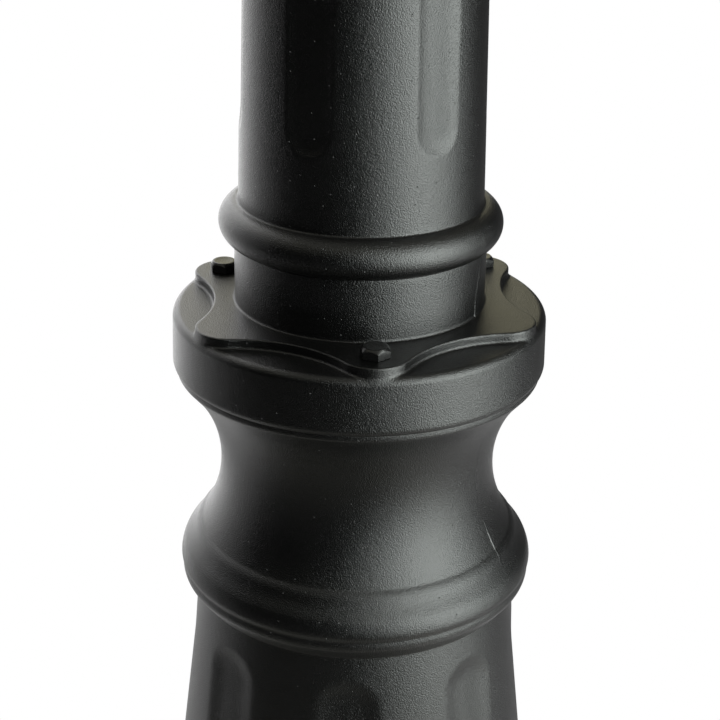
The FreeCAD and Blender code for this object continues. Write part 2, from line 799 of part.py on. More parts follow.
def corner_hole(body, name, lift, length, backwards, radius):
    """Upright holes near the six corners of the lantern, for the screws that hold the cage down."""
    sketch = new_sketch(body, name + "_outline", "XY_Plane", lift=lift)
    ring(sketch, radius, CORNER_SCREW_RADIUS, "0")
    hole = feature(body, "Pocket", name, sketch, length, backwards=backwards)
    return round_the_axis(body, name + "s", [hole], "6")


CORNER_SCREW_RADIUS = "(cage_foot_apothem - cage_wall/2)/cos(30)"
CORNER_SCREW_LENGTH = "base_plate_thickness + corner_thread_length"


def make_lantern_base():
    body = new_body("lantern_base")
    loft(body, "AdditiveLoft", "flare", [
        ("base_foot_apothem", FITTER_TOP),
        ("base_head_apothem", BASE_FLARE_TOP),
    ])
    sketch = new_sketch(body, "plate_outline", "XY_Plane", lift=BASE_FLARE_TOP)
    hexagon(sketch, "base_head_apothem")
    feature(body, "Pad", "plate", sketch, "base_plate_thickness")
    thickness = "base_flare_height + base_plate_thickness"
    sketch = new_sketch(body, "gland_hole_outline", "XY_Plane", lift=BASE_TOP)
    ring(sketch, "gland_radius + gland_clearance")
    feature(body, "Pocket", "gland_hole", sketch, thickness)
    sketch = new_sketch(body, "bolt_hole_outline", "XY_Plane", lift=BASE_TOP)
    ring(sketch, "bolt_radius + bolt_hole_clearance", "0", "0 - base_bolt_circle_radius")
    hole = feature(body, "Pocket", "bolt_hole", sketch, thickness)
    round_the_axis(body, "bolt_holes", [hole], "bolt_count")
    corner_hole(body, "corner_hole", BASE_TOP, "base_plate_thickness", False,
                "small_screw_radius + small_screw_clearance")
    corner_hole(body, "counterbore", BASE_FLARE_TOP, "base_flare_height", False,
                "small_head_radius + small_head_clearance")
    sketch = new_sketch(body, "earth_thread_outline", "XY_Plane", lift=BASE_TOP)
    ring(sketch, "earth_screw_radius + small_screw_clearance", *EARTH_PLACE)
    feature(body, "Pocket", "earth_thread", sketch, "base_plate_thickness + base_flare_height/2")
    for side, name in ((1, "right"), (-1, "left")):
        sketch = new_sketch(body, f"bracket_thread_{name}_outline", "XY_Plane", lift=BASE_TOP)
        ring(sketch, "small_screw_radius + small_screw_clearance", f"{side}*{BRACKET_SCREW_PLACE}", "0")
        feature(body, "Pocket", f"bracket_thread_{name}", sketch, "small_screw_length")
    return body


EARTH_PLACE = ("0 - earth_screw_offset*cos(45)", "0 - earth_screw_offset*cos(45)")
BRACKET_SCREW_PLACE = "(bracket_span/2 + bracket_foot*bracket_hole_share)"


def side_half_width(height):
    """Half the width of a side of the cage's outer face, at a height above the lantern base."""
    return f"((cage_foot_apothem + (cage_head_apothem - cage_foot_apothem)*({height})/cage_height)*tan(30))"


def apothem_at(height):
    return f"(cage_foot_apothem + (cage_head_apothem - cage_foot_apothem)*({height})/cage_height)"


LEAN = "atan((cage_head_apothem - cage_foot_apothem)/cage_height)"
EDGE_SLOPE = f"atan((cage_head_apothem - cage_foot_apothem)/cage_height*tan(30)*cos({LEAN}))"


def glazing_screw(body, name, height, start, length, head, kind):
    """Screws, or holes for them, that run out to the six corners of the cage."""
    far = total(start, length)
    sketch = new_sketch(body, name + "_outline")
    radius = "small_screw_radius" if head else "small_screw_radius + small_screw_clearance"
    corners = [(start, height), (far, height), (far, total(height, radius)), (start, total(height, radius))]
    if head:
        back = less(start, "small_head_height")
        corners = [(back, height)] + corners[1:]
        corners += [(start, total(height, "small_head_radius")), (back, total(height, "small_head_radius"))]
    item = turned_about_line(body, name, sketch, corners, corners[0], (far, height), kind)
    return round_the_axis(body, name + "_pattern", [item], "6")


GLAZING_DEPTH = f"(cage_wall + (2*glass_gap + glass_thickness)/cos({LEAN}))"
LOWER_SCREW_HEIGHT = "(glazing_ring_lift + glazing_ring_height/2)"
UPPER_SCREW_HEIGHT = "(cage_height - cage_flange_thickness - glazing_ring_height/2)"


def glazing_screw_start(height):
    """Where a screw head at a height bears on the two walls that meet in the glazing ring's corner."""
    wall = apothem_at(less(height, "small_head_radius"))
    corner = f"({wall} - {GLAZING_DEPTH} - glazing_ring_thickness)/cos(30)"
    return f"({corner} - small_head_radius*tan(30))"


def make_cage_casting():
    body = new_body("cage_casting")
    loft(body, "AdditiveLoft", "shell", [("cage_foot_apothem", BASE_TOP), ("cage_head_apothem", CAGE_TOP)])
    loft(body, "SubtractiveLoft", "inside", [
        ("cage_foot_apothem - cage_wall", BASE_TOP),
        ("cage_head_apothem - cage_wall", CAGE_TOP),
    ])
    flange_foot = less(CAGE_TOP, "cage_flange_thickness")
    sketch = new_sketch(body, "flange_outline", "XY_Plane", lift=flange_foot)
    hexagon(sketch, "cage_head_apothem - cage_wall/2")
    hexagon(sketch, "cage_flange_apothem")
    feature(body, "Pad", "flange", sketch, "cage_flange_thickness")
    sill = "cage_rail_height"
    head = "cage_height - cage_rail_height"
    corners = []
    for height, sign in ((sill, "0 - "), (sill, ""), (head, ""), (head, "0 - ")):
        corners.append((f"{sign}({side_half_width(height)} - cage_bar_width)", total(BASE_TOP, height)))
    sketch = outline(new_sketch(body, "window_outline"), corners)
    window = feature(body, "Pocket", "window", sketch, "cage_head_apothem*cut_reach_share")
    round_the_axis(body, "windows", [window], "6")
    corner_hole(body, "corner_thread", BASE_TOP, "corner_thread_length + small_screw_clearance", True,
                "small_screw_radius + small_screw_clearance")
    for name, height in (("lower_thread", LOWER_SCREW_HEIGHT), ("upper_thread", UPPER_SCREW_HEIGHT)):
        start = glazing_screw_start(height)
        glazing_screw(body, name, total(BASE_TOP, height), start,
                      "glazing_screw_length + small_screw_clearance", False, "Groove")
    sketch = new_sketch(body, "bridge_thread_outline", "XY_Plane", lift=CAGE_TOP)
    ring(sketch, "small_screw_radius + small_screw_clearance", "0", BRIDGE_SCREW_PLACE)
    hole = feature(body, "Pocket", "bridge_thread", sketch, "cage_flange_thickness")
    round_the_axis(body, "bridge_threads", [hole], "2")
    return body


BRIDGE_END = "(roof_rim_apothem - bridge_end_gap)"
BRIDGE_SCREW_PLACE = f"({BRIDGE_END} - bridge_screw_inset)"


def make_cage_screws():
    body = new_body("cage_screws")
    sketch = new_sketch(body, "screw_outline")
    middle = CORNER_SCREW_RADIUS
    foot = less(BASE_FLARE_TOP, "small_head_height")
    head = total(BASE_FLARE_TOP, CORNER_SCREW_LENGTH)
    screw = turned_about_line(body, "screw", sketch, [
        (middle, foot),
        (total(middle, "small_head_radius"), foot),
        (total(middle, "small_head_radius"), BASE_FLARE_TOP),
        (total(middle, "small_screw_radius"), BASE_FLARE_TOP),
        (total(middle, "small_screw_radius"), head),
        (middle, head),
    ], (middle, foot), (middle, head), "Revolution")
    round_the_axis(body, "screws", [screw], "6")
    return body


def side_placement(number):
    """The frame of one side of the lantern: origin at the foot of its outer face, leaning out with it."""
    lean = FreeCAD.Rotation(FreeCAD.Vector(1, 0, 0), value(LEAN))
    foot = FreeCAD.Vector(0, 0 - value("cage_foot_apothem"), value(BASE_TOP))
    spin = FreeCAD.Placement(FreeCAD.Vector(), FreeCAD.Rotation(FreeCAD.Vector(0, 0, 1), 60 * number))
    return spin.multiply(FreeCAD.Placement(foot, lean))


def slab(body, name, corners, inner_face, thickness):
    """A plate in a side's own frame: its outline seen from outside, and how far behind the face it starts."""
    sketch = outline(new_sketch(body, name + "_outline", lift=f"0 - ({inner_face})"), corners)
    return feature(body, "Pad", name, sketch, thickness, backwards=True)


def trapezoid(foot, head, inset):
    """Corners of a plate that keeps inset from the corners of its side, between two slant heights."""
    corners = []
    for slant, sign in ((foot, "0 - "), (foot, ""), (head, ""), (head, "0 - ")):
        half = f"({side_half_width(f'({slant})*cos({LEAN})')} - ({inset}))"
        corners.append((f"{sign}{half}", slant))
    return corners


GLASS_FACE = f"(cage_wall*cos({LEAN}) + glass_gap)"


def make_glass_pane(number, name):
    body = new_body(name)
    back = f"({GLASS_FACE} + glass_thickness)"
    foot = f"(glass_gap - {GLASS_FACE}*sin({LEAN}))/cos({LEAN})"
    head = f"(cage_height - cage_flange_thickness - glass_end_gap - {back}*sin({LEAN}))/cos({LEAN})"
    slab(body, "pane", trapezoid(foot, head, f"{back}/cos({LEAN})*tan(30) + glass_corner_gap"),
         GLASS_FACE, "glass_thickness")
    body.Placement = side_placement(number)
    return body


def make_glazing_ring(label, foot):
    body = new_body(label)
    head = total(foot, "glazing_ring_height")
    levels = (foot, head)
    outside = [(f"{apothem_at(level)} - {GLAZING_DEPTH}", total(BASE_TOP, level)) for level in levels]
    inside = [(f"{apothem} - glazing_ring_thickness", lift) for apothem, lift in outside]
    loft(body, "AdditiveLoft", "strip", outside)
    loft(body, "SubtractiveLoft", "inside", inside)
    height = total(foot, "glazing_ring_height/2")
    start = glazing_screw_start(height)
    glazing_screw(body, "hole", total(BASE_TOP, height), start, "glazing_screw_length", False, "Groove")
    return body


def make_glazing_screws():
    body = new_body("glazing_screws")
    for name, height in (("lower_screw", LOWER_SCREW_HEIGHT), ("upper_screw", UPPER_SCREW_HEIGHT)):
        start = glazing_screw_start(height)
        glazing_screw(body, name, total(BASE_TOP, height), start, "glazing_screw_length", True, "Revolution")
    return body


# The door in the front side, its hinges and what it carries

DOOR_FOOT = f"((cage_rail_height + door_gap)/cos({LEAN}))"
DOOR_HEAD = f"((cage_height - cage_rail_height - door_gap - door_thickness*sin({LEAN}))/cos({LEAN}))"
DOOR_INSET = "(cage_bar_width + door_gap)"
DOOR_MIDDLE = f"(({DOOR_FOOT} + {DOOR_HEAD})/2)"
HINGE_REACH = f"({side_half_width('0')} - cage_bar_width - door_gap/2)"
KNUCKLE_PITCH = "(hinge_knuckle_length + hinge_knuckle_gap)"
HINGE_HEIGHT = f"({KNUCKLE_PITCH} + hinge_knuckle_length)"
LOWER_HINGE = f"({DOOR_FOOT} + hinge_end_gap)"
UPPER_HINGE = f"({DOOR_HEAD} - hinge_end_gap - {HINGE_HEIGHT})"


def hinge_placement():
    """The frame of the hinge line: its upright axis is the hinge's own, its depth axis points indoors."""
    slope = FreeCAD.Rotation(FreeCAD.Vector(0, 1, 0), 0 - value(EDGE_SLOPE))
    foot = FreeCAD.Vector(0 - value(HINGE_REACH), 0 - value("hinge_stand_off"), 0)
    return side_placement(0).multiply(FreeCAD.Placement(foot, slope))


def primitive(kind, name, placement, **formulas):
    item = document.addObject(f"Part::{kind}", name)
    for slot, formula in formulas.items():
        bind(item, slot, formula)
    item.Placement = placement
    return item


def moved(placement, across, deep, up):
    shift = FreeCAD.Vector(value(across), value(deep), value(up))
    return placement.multiply(FreeCAD.Placement(shift, FreeCAD.Rotation()))


def hinge_leaf(name, foot, side):
    """A knuckle and its leaf, on the cage's bar (side -1) or the door's bar (side 1)."""
    place = hinge_placement()
    knuckle = primitive("Cylinder", name + "_knuckle", moved(place, "0", "0", foot),
                        Radius="hinge_radius", Height="hinge_knuckle_length")
    across = "0" if side > 0 else "0 - cage_bar_width*cage_leaf_share"
    width = "door_bar_width*door_leaf_share" if side > 0 else "cage_bar_width*cage_leaf_share"
    root = "hinge_radius*leaf_root_share"
    leaf = primitive("Box", name + "_leaf", moved(place, across, root, foot), Length=width,
                     Width=less("hinge_stand_off", root), Height="hinge_knuckle_length")
    return [knuckle, leaf]


def joined_with_leaves(label, casting, leaves):
    """A casting fused with its hinge leaves and drilled for the pins."""
    fuse = document.addObject("Part::MultiFuse", label + "_joined")
    fuse.Shapes = [casting] + leaves
    drill = primitive("Cylinder", label + "_drill", moved(hinge_placement(), "0", "0", DOOR_FOOT),
                      Radius="hinge_pin_radius + hinge_pin_clearance", Height=less(DOOR_HEAD, DOOR_FOOT))
    cut = document.addObject("Part::Cut", label)
    cut.Label = label
    cut.Base = fuse
    cut.Tool = drill
    document.recompute()
    return cut


def make_cage():
    leaves = hinge_leaf("cage_lower", LOWER_HINGE, -1) + hinge_leaf("cage_upper", UPPER_HINGE, -1)
    return joined_with_leaves("cage", make_cage_casting(), leaves)


def make_door_frame():
    body = new_body("door_casting")
    slab(body, "frame", trapezoid(DOOR_FOOT, DOOR_HEAD, DOOR_INSET), "0", "door_thickness")
    inner = trapezoid(f"{DOOR_FOOT} + door_bar_width", f"{DOOR_HEAD} - door_bar_width",
                      f"{DOOR_INSET} + door_bar_width")
    sketch = outline(new_sketch(body, "opening_outline"), inner)
    feature(body, "Pocket", "opening", sketch, "door_thickness")
    body.Placement = side_placement(0)
    leaves = hinge_leaf("door_lower", total(LOWER_HINGE, KNUCKLE_PITCH), 1)
    leaves += hinge_leaf("door_upper", total(UPPER_HINGE, KNUCKLE_PITCH), 1)
    return joined_with_leaves("door_frame", body, leaves)


def make_door_glass():
    body = new_body("door_glass")
    reach = "(door_bar_width - door_glass_overlap)"
    corners = trapezoid(f"{DOOR_FOOT} + {reach}", f"{DOOR_HEAD} - {reach}", f"{DOOR_INSET} + {reach}")
    slab(body, "pane", corners, "door_thickness + glass_gap", "glass_thickness")
    body.Placement = side_placement(0)
    return body


def make_door_glass_clips():
    """Bent strips on the inside of the door's side bars, lapping over the glass."""
    body = new_body("door_glass_clips")
    for level_name in ("lower", "upper"):
        slant = f"({DOOR_FOOT} + ({DOOR_HEAD} - {DOOR_FOOT})*{level_name}_clip_share)"
        edge = f"({side_half_width(f'({slant} - door_clip_width/2)*cos({LEAN})')} - {DOOR_INSET})"
        glass_edge = f"({edge} - door_bar_width + door_glass_overlap + glass_corner_gap/2)"
        back = "(door_thickness + 2*glass_gap + glass_thickness)"
        for side_name, sign in (("left", "-1"), ("right", "1")):
            corners = [
                (f"{sign}*{edge}", "door_thickness"),
                (f"{sign}*{edge}", "door_thickness + door_clip_thickness"),
                (f"{sign}*({glass_edge} + door_clip_thickness)", "door_thickness + door_clip_thickness"),
                (f"{sign}*({glass_edge} + door_clip_thickness)", f"{back} + door_clip_thickness"),
                (f"{sign}*({glass_edge} - door_clip_reach)", f"{back} + door_clip_thickness"),
                (f"{sign}*({glass_edge} - door_clip_reach)", back),
                (f"{sign}*{glass_edge}", back),
                (f"{sign}*{glass_edge}", "door_thickness"),
            ]
            name = f"{level_name}_{side_name}"
            sketch = new_sketch(body, name + "_outline", "XY_Plane", lift=f"{slant} - door_clip_width/2")
            outline(sketch, corners)
            feature(body, "Pad", name, sketch, "door_clip_width")
    body.Placement = side_placement(0)
    return body


def make_door_knob():
    body = new_body("door_knob")
    across = f"({side_half_width(f'{DOOR_MIDDLE}*cos({LEAN})')} - {DOOR_INSET} - door_bar_width/2)"
    sketch = new_sketch(body, "knob_outline", "XY_Plane", lift=DOOR_MIDDLE)
    turned_about_line(body, "knob", sketch, [
        (across, "0"),
        (across, "0 - knob_length"),
        (f"{across} + knob_radius*knob_face_share", "0 - knob_length", "knob_radius*knob_crown_share"),
        (f"{across} + knob_radius", "0 - knob_length*knob_rim_share"),
        (f"{across} + knob_neck_radius", "0 - knob_length*knob_waist_share"),
        (f"{across} + knob_neck_radius", "0 - knob_length*knob_base_share"),
        (f"{across} + knob_radius*knob_seat_share", "0"),
    ], (across, "0"), (across, "0 - knob_length"), "Revolution")
    body.Placement = side_placement(0)
    return body


def make_door_catch():
    """A flat spring strip behind the free edge of the door, fixed to the cage's bar."""
    body = new_body("door_catch")
    foot = f"({DOOR_MIDDLE} - catch_width/2)"
    head = f"({DOOR_MIDDLE} + catch_width/2)"
    window_edge = f"({side_half_width(f'{foot}*cos({LEAN})')} - cage_bar_width)"
    slab(body, "strip", [
        (f"{window_edge} - door_gap - door_glass_overlap", foot),
        (f"{window_edge} + cage_bar_width*catch_root_share", foot),
        (f"{window_edge} + cage_bar_width*catch_root_share", head),
        (f"{window_edge} - door_gap - door_glass_overlap", head),
    ], f"cage_wall*cos({LEAN})", "catch_thickness")
    body.Placement = side_placement(0)
    return body


def make_hinge_pins():
    """Two pins with peened ends, each through a cage knuckle and the door knuckle above it."""
    body = new_body("hinge_pins")
    for name, foot in (("lower", LOWER_HINGE), ("upper", UPPER_HINGE)):
        head = total(foot, HINGE_HEIGHT, "hinge_knuckle_gap")
        turned(body, name, [
            ("0", less(foot, "hinge_pin_head")),
            ("hinge_pin_head_radius", less(foot, "hinge_pin_head")),
            ("hinge_pin_head_radius", foot),
            ("hinge_pin_radius", foot),
            ("hinge_pin_radius", head),
            ("hinge_pin_head_radius", head),
            ("hinge_pin_head_radius", total(head, "hinge_pin_head")),
            ("0", total(head, "hinge_pin_head")),
        ])
    body.Placement = hinge_placement()
    return body


# The roof, the vent on it, and the rod that holds them down

ROOF_FOOT = total(CAGE_TOP, "gasket_thickness")
CROWN_TOP = total(ROOF_FOOT, "roof_height")
VENT_TOP = total(CROWN_TOP, "vent_height")
VENT_CAP_TOP = total(VENT_TOP, "vent_cap_height")
ROD_HOLE = "rod_radius + rod_clearance"


def hexagon_plate(body, name, foot, outer, inner, thickness):
    sketch = hexagon(new_sketch(body, name + "_outline", "XY_Plane", lift=foot), outer)
    hexagon(sketch, inner)
    return feature(body, "Pad", name, sketch, thickness)


def make_roof_gasket():
    body = new_body("roof_gasket")
    hexagon_plate(body, "seal", CAGE_TOP, "cage_head_apothem - glass_gap", "roof_rim_apothem + glass_gap",
                  "gasket_thickness")
    return body


def make_roof():
    body = new_body("roof")
    sketch = hexagon(new_sketch(body, "eave_outline", "XY_Plane", lift=ROOF_FOOT), "roof_eave_apothem")
    feature(body, "Pad", "eave", sketch, "roof_eave_height")
    slope = [
        ("roof_eave_apothem", "roof_eave_height"),
        ("roof_shoulder_apothem", "roof_shoulder_height"),
        ("roof_slope_apothem", "roof_slope_height"),
        ("roof_crown_apothem", "roof_height"),
    ]
    loft(body, "AdditiveLoft", "slope", [(apothem, total(ROOF_FOOT, height)) for apothem, height in slope])
    inside = [("roof_rim_apothem", ROOF_FOOT)]
    for apothem, height in slope[1:]:
        inside.append((f"{apothem} - roof_wall", total(ROOF_FOOT, less(height, "2*roof_wall"))))
    loft(body, "SubtractiveLoft", "inside", inside)
    sketch = ring(new_sketch(body, "rod_hole_outline", "XY_Plane", lift=CROWN_TOP), ROD_HOLE)
    feature(body, "Pocket", "rod_hole", sketch, "3*roof_wall")
    sketch = new_sketch(body, "vent_hole_outline", "XY_Plane", lift=CROWN_TOP)
    ring(sketch, "rod_radius", "(rod_radius + vent_radius)/2", "0")
    hole = feature(body, "Pocket", "vent_hole", sketch, "3*roof_wall")
    round_the_axis(body, "vent_holes", [hole], "6")
    return body


def make_vent_drum():
    body = new_body("vent_drum")
    turned(body, "tube", [
        ("vent_radius - vent_wall", CROWN_TOP),
        ("vent_radius", CROWN_TOP),
        ("vent_radius", VENT_TOP),
        ("vent_radius - vent_wall", VENT_TOP),
    ])
    sill = total(CROWN_TOP, "(vent_height - vent_slot_height)/2")
    head = total(sill, "vent_slot_height")
    sketch = outline(new_sketch(body, "slot_outline"), [
        ("0 - vent_slot_width/2", sill),
        ("vent_slot_width/2", sill),
        ("vent_slot_width/2", head, "vent_slot_width*slot_arch_share"),
        ("0 - vent_slot_width/2", head),
    ])
    slot = feature(body, "Pocket", "slot", sketch, "vent_radius*cut_reach_share")
    round_the_axis(body, "slots", [slot], "vent_slot_count")
    return body


def make_vent_cap():
    body = new_body("vent_cap")
    skirt = less("vent_cap_radius", "vent_cap_wall")
    turned(body, "dome", [
        (ROD_HOLE, VENT_TOP),
        (skirt, VENT_TOP),
        (skirt, less(VENT_TOP, "vent_cap_rim")),
        ("vent_cap_radius", less(VENT_TOP, "vent_cap_rim")),
        ("vent_cap_radius", total(VENT_TOP, "vent_cap_wall"), "0 - vent_cap_sink"),
        ("vent_cap_crown_radius", VENT_CAP_TOP),
        (ROD_HOLE, VENT_CAP_TOP),
    ])
    return body


def make_finial():
    body = new_body("finial")
    ball_foot = total(VENT_CAP_TOP, "finial_foot_height")
    ball_head = total(ball_foot, "finial_ball_height")
    tip = total(ball_head, "finial_spire_height")
    bulge = less("finial_ball_radius", "(finial_foot_radius + finial_neck_radius)/2")
    turned(body, "spire", [
        (ROD_HOLE, VENT_CAP_TOP),
        ("finial_foot_radius", VENT_CAP_TOP),
        ("finial_foot_radius", ball_foot, bulge),
        ("finial_neck_radius", ball_head, "0 - finial_tip_radius"),
        ("finial_tip_radius", tip),
        ("0", tip),
        ("0", total(VENT_CAP_TOP, "finial_bore_depth")),
        (ROD_HOLE, total(VENT_CAP_TOP, "finial_bore_depth")),
    ])
    return body


def make_roof_bridge():
    body = new_body("roof_bridge")
    half = "bridge_width/2"
    sketch = outline(new_sketch(body, "bar_outline", "XY_Plane", lift=CAGE_TOP), [
        (f"0 - {half}", f"0 - {BRIDGE_END}"),
        (half, f"0 - {BRIDGE_END}"),
        (half, BRIDGE_END),
        (f"0 - {half}", BRIDGE_END),
    ])
    ring(sketch, ROD_HOLE)
    for sign in ("", "0 - "):
        ring(sketch, "small_screw_radius + small_screw_clearance", "0", f"{sign}{BRIDGE_SCREW_PLACE}")
    feature(body, "Pad", "bar", sketch, "bridge_thickness")
    return body


def pan_head_screw(body, name, across, deep, seat, length):
    """An upright screw at a place, its head standing on seat."""
    sketch = new_sketch(body, name + "_head_outline", "XY_Plane", lift=seat)
    ring(sketch, "small_head_radius", across, deep)
    head = feature(body, "Pad", name + "_head", sketch, "small_head_height")
    sketch = new_sketch(body, name + "_shank_outline", "XY_Plane", lift=seat)
    ring(sketch, "small_screw_radius", across, deep)
    shank = feature(body, "Pad", name + "_shank", sketch, length, backwards=True)
    return [head, shank]


def make_bridge_screws():
    body = new_body("bridge_screws")
    seat = total(CAGE_TOP, "bridge_thickness")
    length = "bridge_thickness + cage_flange_thickness"
    parts = pan_head_screw(body, "screw", "0", BRIDGE_SCREW_PLACE, seat, length)
    round_the_axis(body, "screws", parts, "2")
    return body


def make_finial_rod():
    body = new_body("finial_rod")
    foot = less(CAGE_TOP, "rod_nut_height", "rod_radius/2")
    head = total(VENT_CAP_TOP, "rod_engagement")
    sketch = ring(new_sketch(body, "rod_outline", "XY_Plane", lift=foot), "rod_radius")
    feature(body, "Pad", "rod", sketch, less(head, foot))
    return body


def make_rod_nuts():
    body = new_body("rod_nuts")
    lower_foot = less(CAGE_TOP, "rod_nut_height")
    upper_foot = total(CAGE_TOP, "bridge_thickness")
    for name, foot in (("lower", lower_foot), ("upper", upper_foot)):
        sketch = new_sketch(body, name + "_outline", "XY_Plane", lift=foot)
        outline(sketch, polygon_corners(6, "rod_nut_corner_radius"))
        ring(sketch, "rod_radius + bolt_thread_clearance")
        feature(body, "Pad", name, sketch, "rod_nut_height")
    return body


# The lamp holder on its bracket, the bulb in it, and the wiring's fixed pieces

BRACKET_TOP = total(BASE_TOP, "bracket_height")
HOLDER_FLOOR = total(BRACKET_TOP, "holder_floor")
HOLDER_TOP = total(BRACKET_TOP, "holder_height")
CAP_FOOT = total(HOLDER_FLOOR, "cap_lift")
CAP_TOP = total(CAP_FOOT, "cap_height")
COLLAR_HEAD = total(CAP_TOP, "bulb_collar_height")
STEM_HOLE = "holder_stem_radius + holder_bore_clearance"


def make_holder_bracket():
    """A strip bent into a stool over the gland."""
    body = new_body("holder_bracket")
    leg = "bracket_span/2"
    far = total(leg, "bracket_foot")
    sole = total(BASE_TOP, "bracket_thickness")
    outside = "(bracket_bend + bracket_thickness)"
    half = [
        (far, BASE_TOP),
        (far, sole),
        (f"{leg} + bracket_bend", sole, "0 - bracket_bend*(1 - cos(45))"),
        (leg, total(sole, "bracket_bend")),
        (leg, less(BRACKET_TOP, outside), f"{outside}*(1 - cos(45))"),
        (f"{leg} - {outside}", BRACKET_TOP),
    ]
    under = [
        (f"{leg} - {outside}", less(BRACKET_TOP, "bracket_thickness"), "0 - bracket_bend*(1 - cos(45))"),
        (f"{leg} - bracket_thickness", less(BRACKET_TOP, outside)),
        (f"{leg} - bracket_thickness", total(BASE_TOP, outside), f"{outside}*(1 - cos(45))"),
        (f"{leg} + bracket_bend", BASE_TOP),
    ]

    def mirror(corners):
        """The same corners on the other side, walked the other way, with each bulge on its own edge."""
        shifted = []
        for number in range(len(corners) - 1, -1, -1):
            across, up = corners[number][:2]
            bend = corners[number - 1][2:] if number else ()
            shifted.append((f"0 - ({across})", up) + bend)
        return shifted

    sketch = outline(new_sketch(body, "strip_outline"), half + mirror(half) + mirror(under) + under)
    feature(body, "Pad", "strip", sketch, "bracket_width", midplane=True)
    sketch = ring(new_sketch(body, "stem_hole_outline", "XY_Plane", lift=BRACKET_TOP), STEM_HOLE)
    feature(body, "Pocket", "stem_hole", sketch, "bracket_thickness*2")
    for side, name in ((1, "right"), (-1, "left")):
        sketch = new_sketch(body, f"foot_hole_{name}_outline", "XY_Plane", lift=total(sole, "bracket_bend"))
        ring(sketch, "small_screw_radius + small_screw_clearance", f"{side}*{BRACKET_SCREW_PLACE}", "0")
        feature(body, "Pocket", f"foot_hole_{name}", sketch, "bracket_thickness + 2*bracket_bend")
    return body


def make_bracket_screws():
    body = new_body("bracket_screws")
    seat = total(BASE_TOP, "bracket_thickness")
    parts = pan_head_screw(body, "screw", BRACKET_SCREW_PLACE, "0", seat, "small_screw_length")
    round_the_axis(body, "screws", parts, "2")
    return body


def make_lamp_holder():
    body = new_body("lamp_holder")
    stem_foot = less(BRACKET_TOP, "holder_stem_length")
    wire_hole = "holder_stem_radius*wire_way_share"
    cavity = "shell_radius + holder_bore_clearance"
    turned(body, "moulding", [
        (wire_hole, stem_foot),
        ("holder_stem_radius", stem_foot),
        ("holder_stem_radius", BRACKET_TOP),
        ("holder_shoulder_radius", BRACKET_TOP),
        ("holder_radius", HOLDER_FLOOR),
        ("holder_radius", HOLDER_TOP),
        (cavity, HOLDER_TOP),
        (cavity, HOLDER_FLOOR),
        (wire_hole, HOLDER_FLOOR),
    ])
    return body


def make_holder_nut():
    body = new_body("holder_nut")
    foot = less(BRACKET_TOP, "bracket_thickness", "holder_nut_height")
    sketch = new_sketch(body, "nut_outline", "XY_Plane", lift=foot)
    outline(sketch, polygon_corners(6, "holder_nut_corner_radius"))
    ring(sketch, "holder_stem_radius + bolt_thread_clearance")
    feature(body, "Pad", "nut", sketch, "holder_nut_height")
    return body


def make_socket_shell():
    body = new_body("socket_shell")
    turned(body, "sleeve", [
        ("shell_radius - shell_wall", HOLDER_FLOOR),
        ("shell_radius", HOLDER_FLOOR),
        ("shell_radius", total(HOLDER_FLOOR, "shell_height")),
        ("shell_radius - shell_wall", total(HOLDER_FLOOR, "shell_height")),
    ])
    return body


def make_bulb_cap():
    body = new_body("bulb_cap")
    tip_foot = less(CAP_FOOT, "cap_tip_height")
    turned(body, "cap", [
        ("0", tip_foot),
        ("cap_tip_radius", tip_foot),
        ("cap_glass_radius", CAP_FOOT),
        ("cap_radius", total(CAP_FOOT, "cap_tip_radius")),
        ("cap_radius", CAP_TOP),
        ("0", CAP_TOP),
    ])
    return body


def make_bulb_collar():
    body = new_body("bulb_collar")
    flare_foot = total(HOLDER_TOP, "cap_lift")
    turned(body, "collar", [
        ("0", CAP_TOP),
        ("cap_radius", CAP_TOP),
        ("cap_radius", flare_foot, "0 - collar_flare_sink"),
        ("collar_head_radius", COLLAR_HEAD),
        ("0", COLLAR_HEAD),
    ])
    return body


def make_bulb_globe():
    body = new_body("bulb_globe")
    middle = less(total(COLLAR_HEAD, "globe_height"), "globe_radius")
    turned(body, "globe", [
        ("0", COLLAR_HEAD),
        ("collar_head_radius", COLLAR_HEAD, "globe_shoulder_bulge"),
        ("globe_radius", middle, "globe_radius*(1 - cos(45))"),
        ("0", total(middle, "globe_radius")),
    ])
    return body


def repeat_across(body, name, features, pitch, count):
    pattern = body.newObject("PartDesign::LinearPattern", name)
    pattern.Originals = features
    pattern.Direction = (plane(body, "X_Axis"), [""])
    bind(pattern, "Occurrences", count)
    bind(pattern, "Length", f"{pitch}*({count} - 1)")
    body.Tip = pattern
    document.recompute()
    return pattern


TERMINAL_PITCH = "terminal_length/terminal_count"
FIRST_TERMINAL = "(0 - terminal_length/2 + terminal_length/terminal_count/2)"
TERMINAL_TOP = total(BASE_TOP, "terminal_height")


def make_terminal_block():
    body = new_body("terminal_block")
    near = "terminal_offset - terminal_width/2"
    far = "terminal_offset + terminal_width/2"
    sketch = outline(new_sketch(body, "block_outline", "XY_Plane", lift=BASE_TOP), [
        ("0 - terminal_length/2", near),
        ("terminal_length/2", near),
        ("terminal_length/2", far),
        ("0 - terminal_length/2", far),
    ])
    feature(body, "Pad", "block", sketch, "terminal_height")
    entry = new_sketch(body, "entry_outline")
    entry_height = total(BASE_TOP, "terminal_height*terminal_entry_share")
    ring(entry, "terminal_entry_radius", FIRST_TERMINAL, entry_height)
    entry_hole = feature(body, "Pocket", "entry", entry, far)
    well = new_sketch(body, "well_outline", "XY_Plane", lift=TERMINAL_TOP)
    ring(well, "terminal_screw_radius + holder_bore_clearance", FIRST_TERMINAL, "terminal_offset")
    well_hole = feature(body, "Pocket", "well", well, "terminal_height*terminal_well_share")
    repeat_across(body, "ways", [entry_hole, well_hole], TERMINAL_PITCH, "terminal_count")
    return body


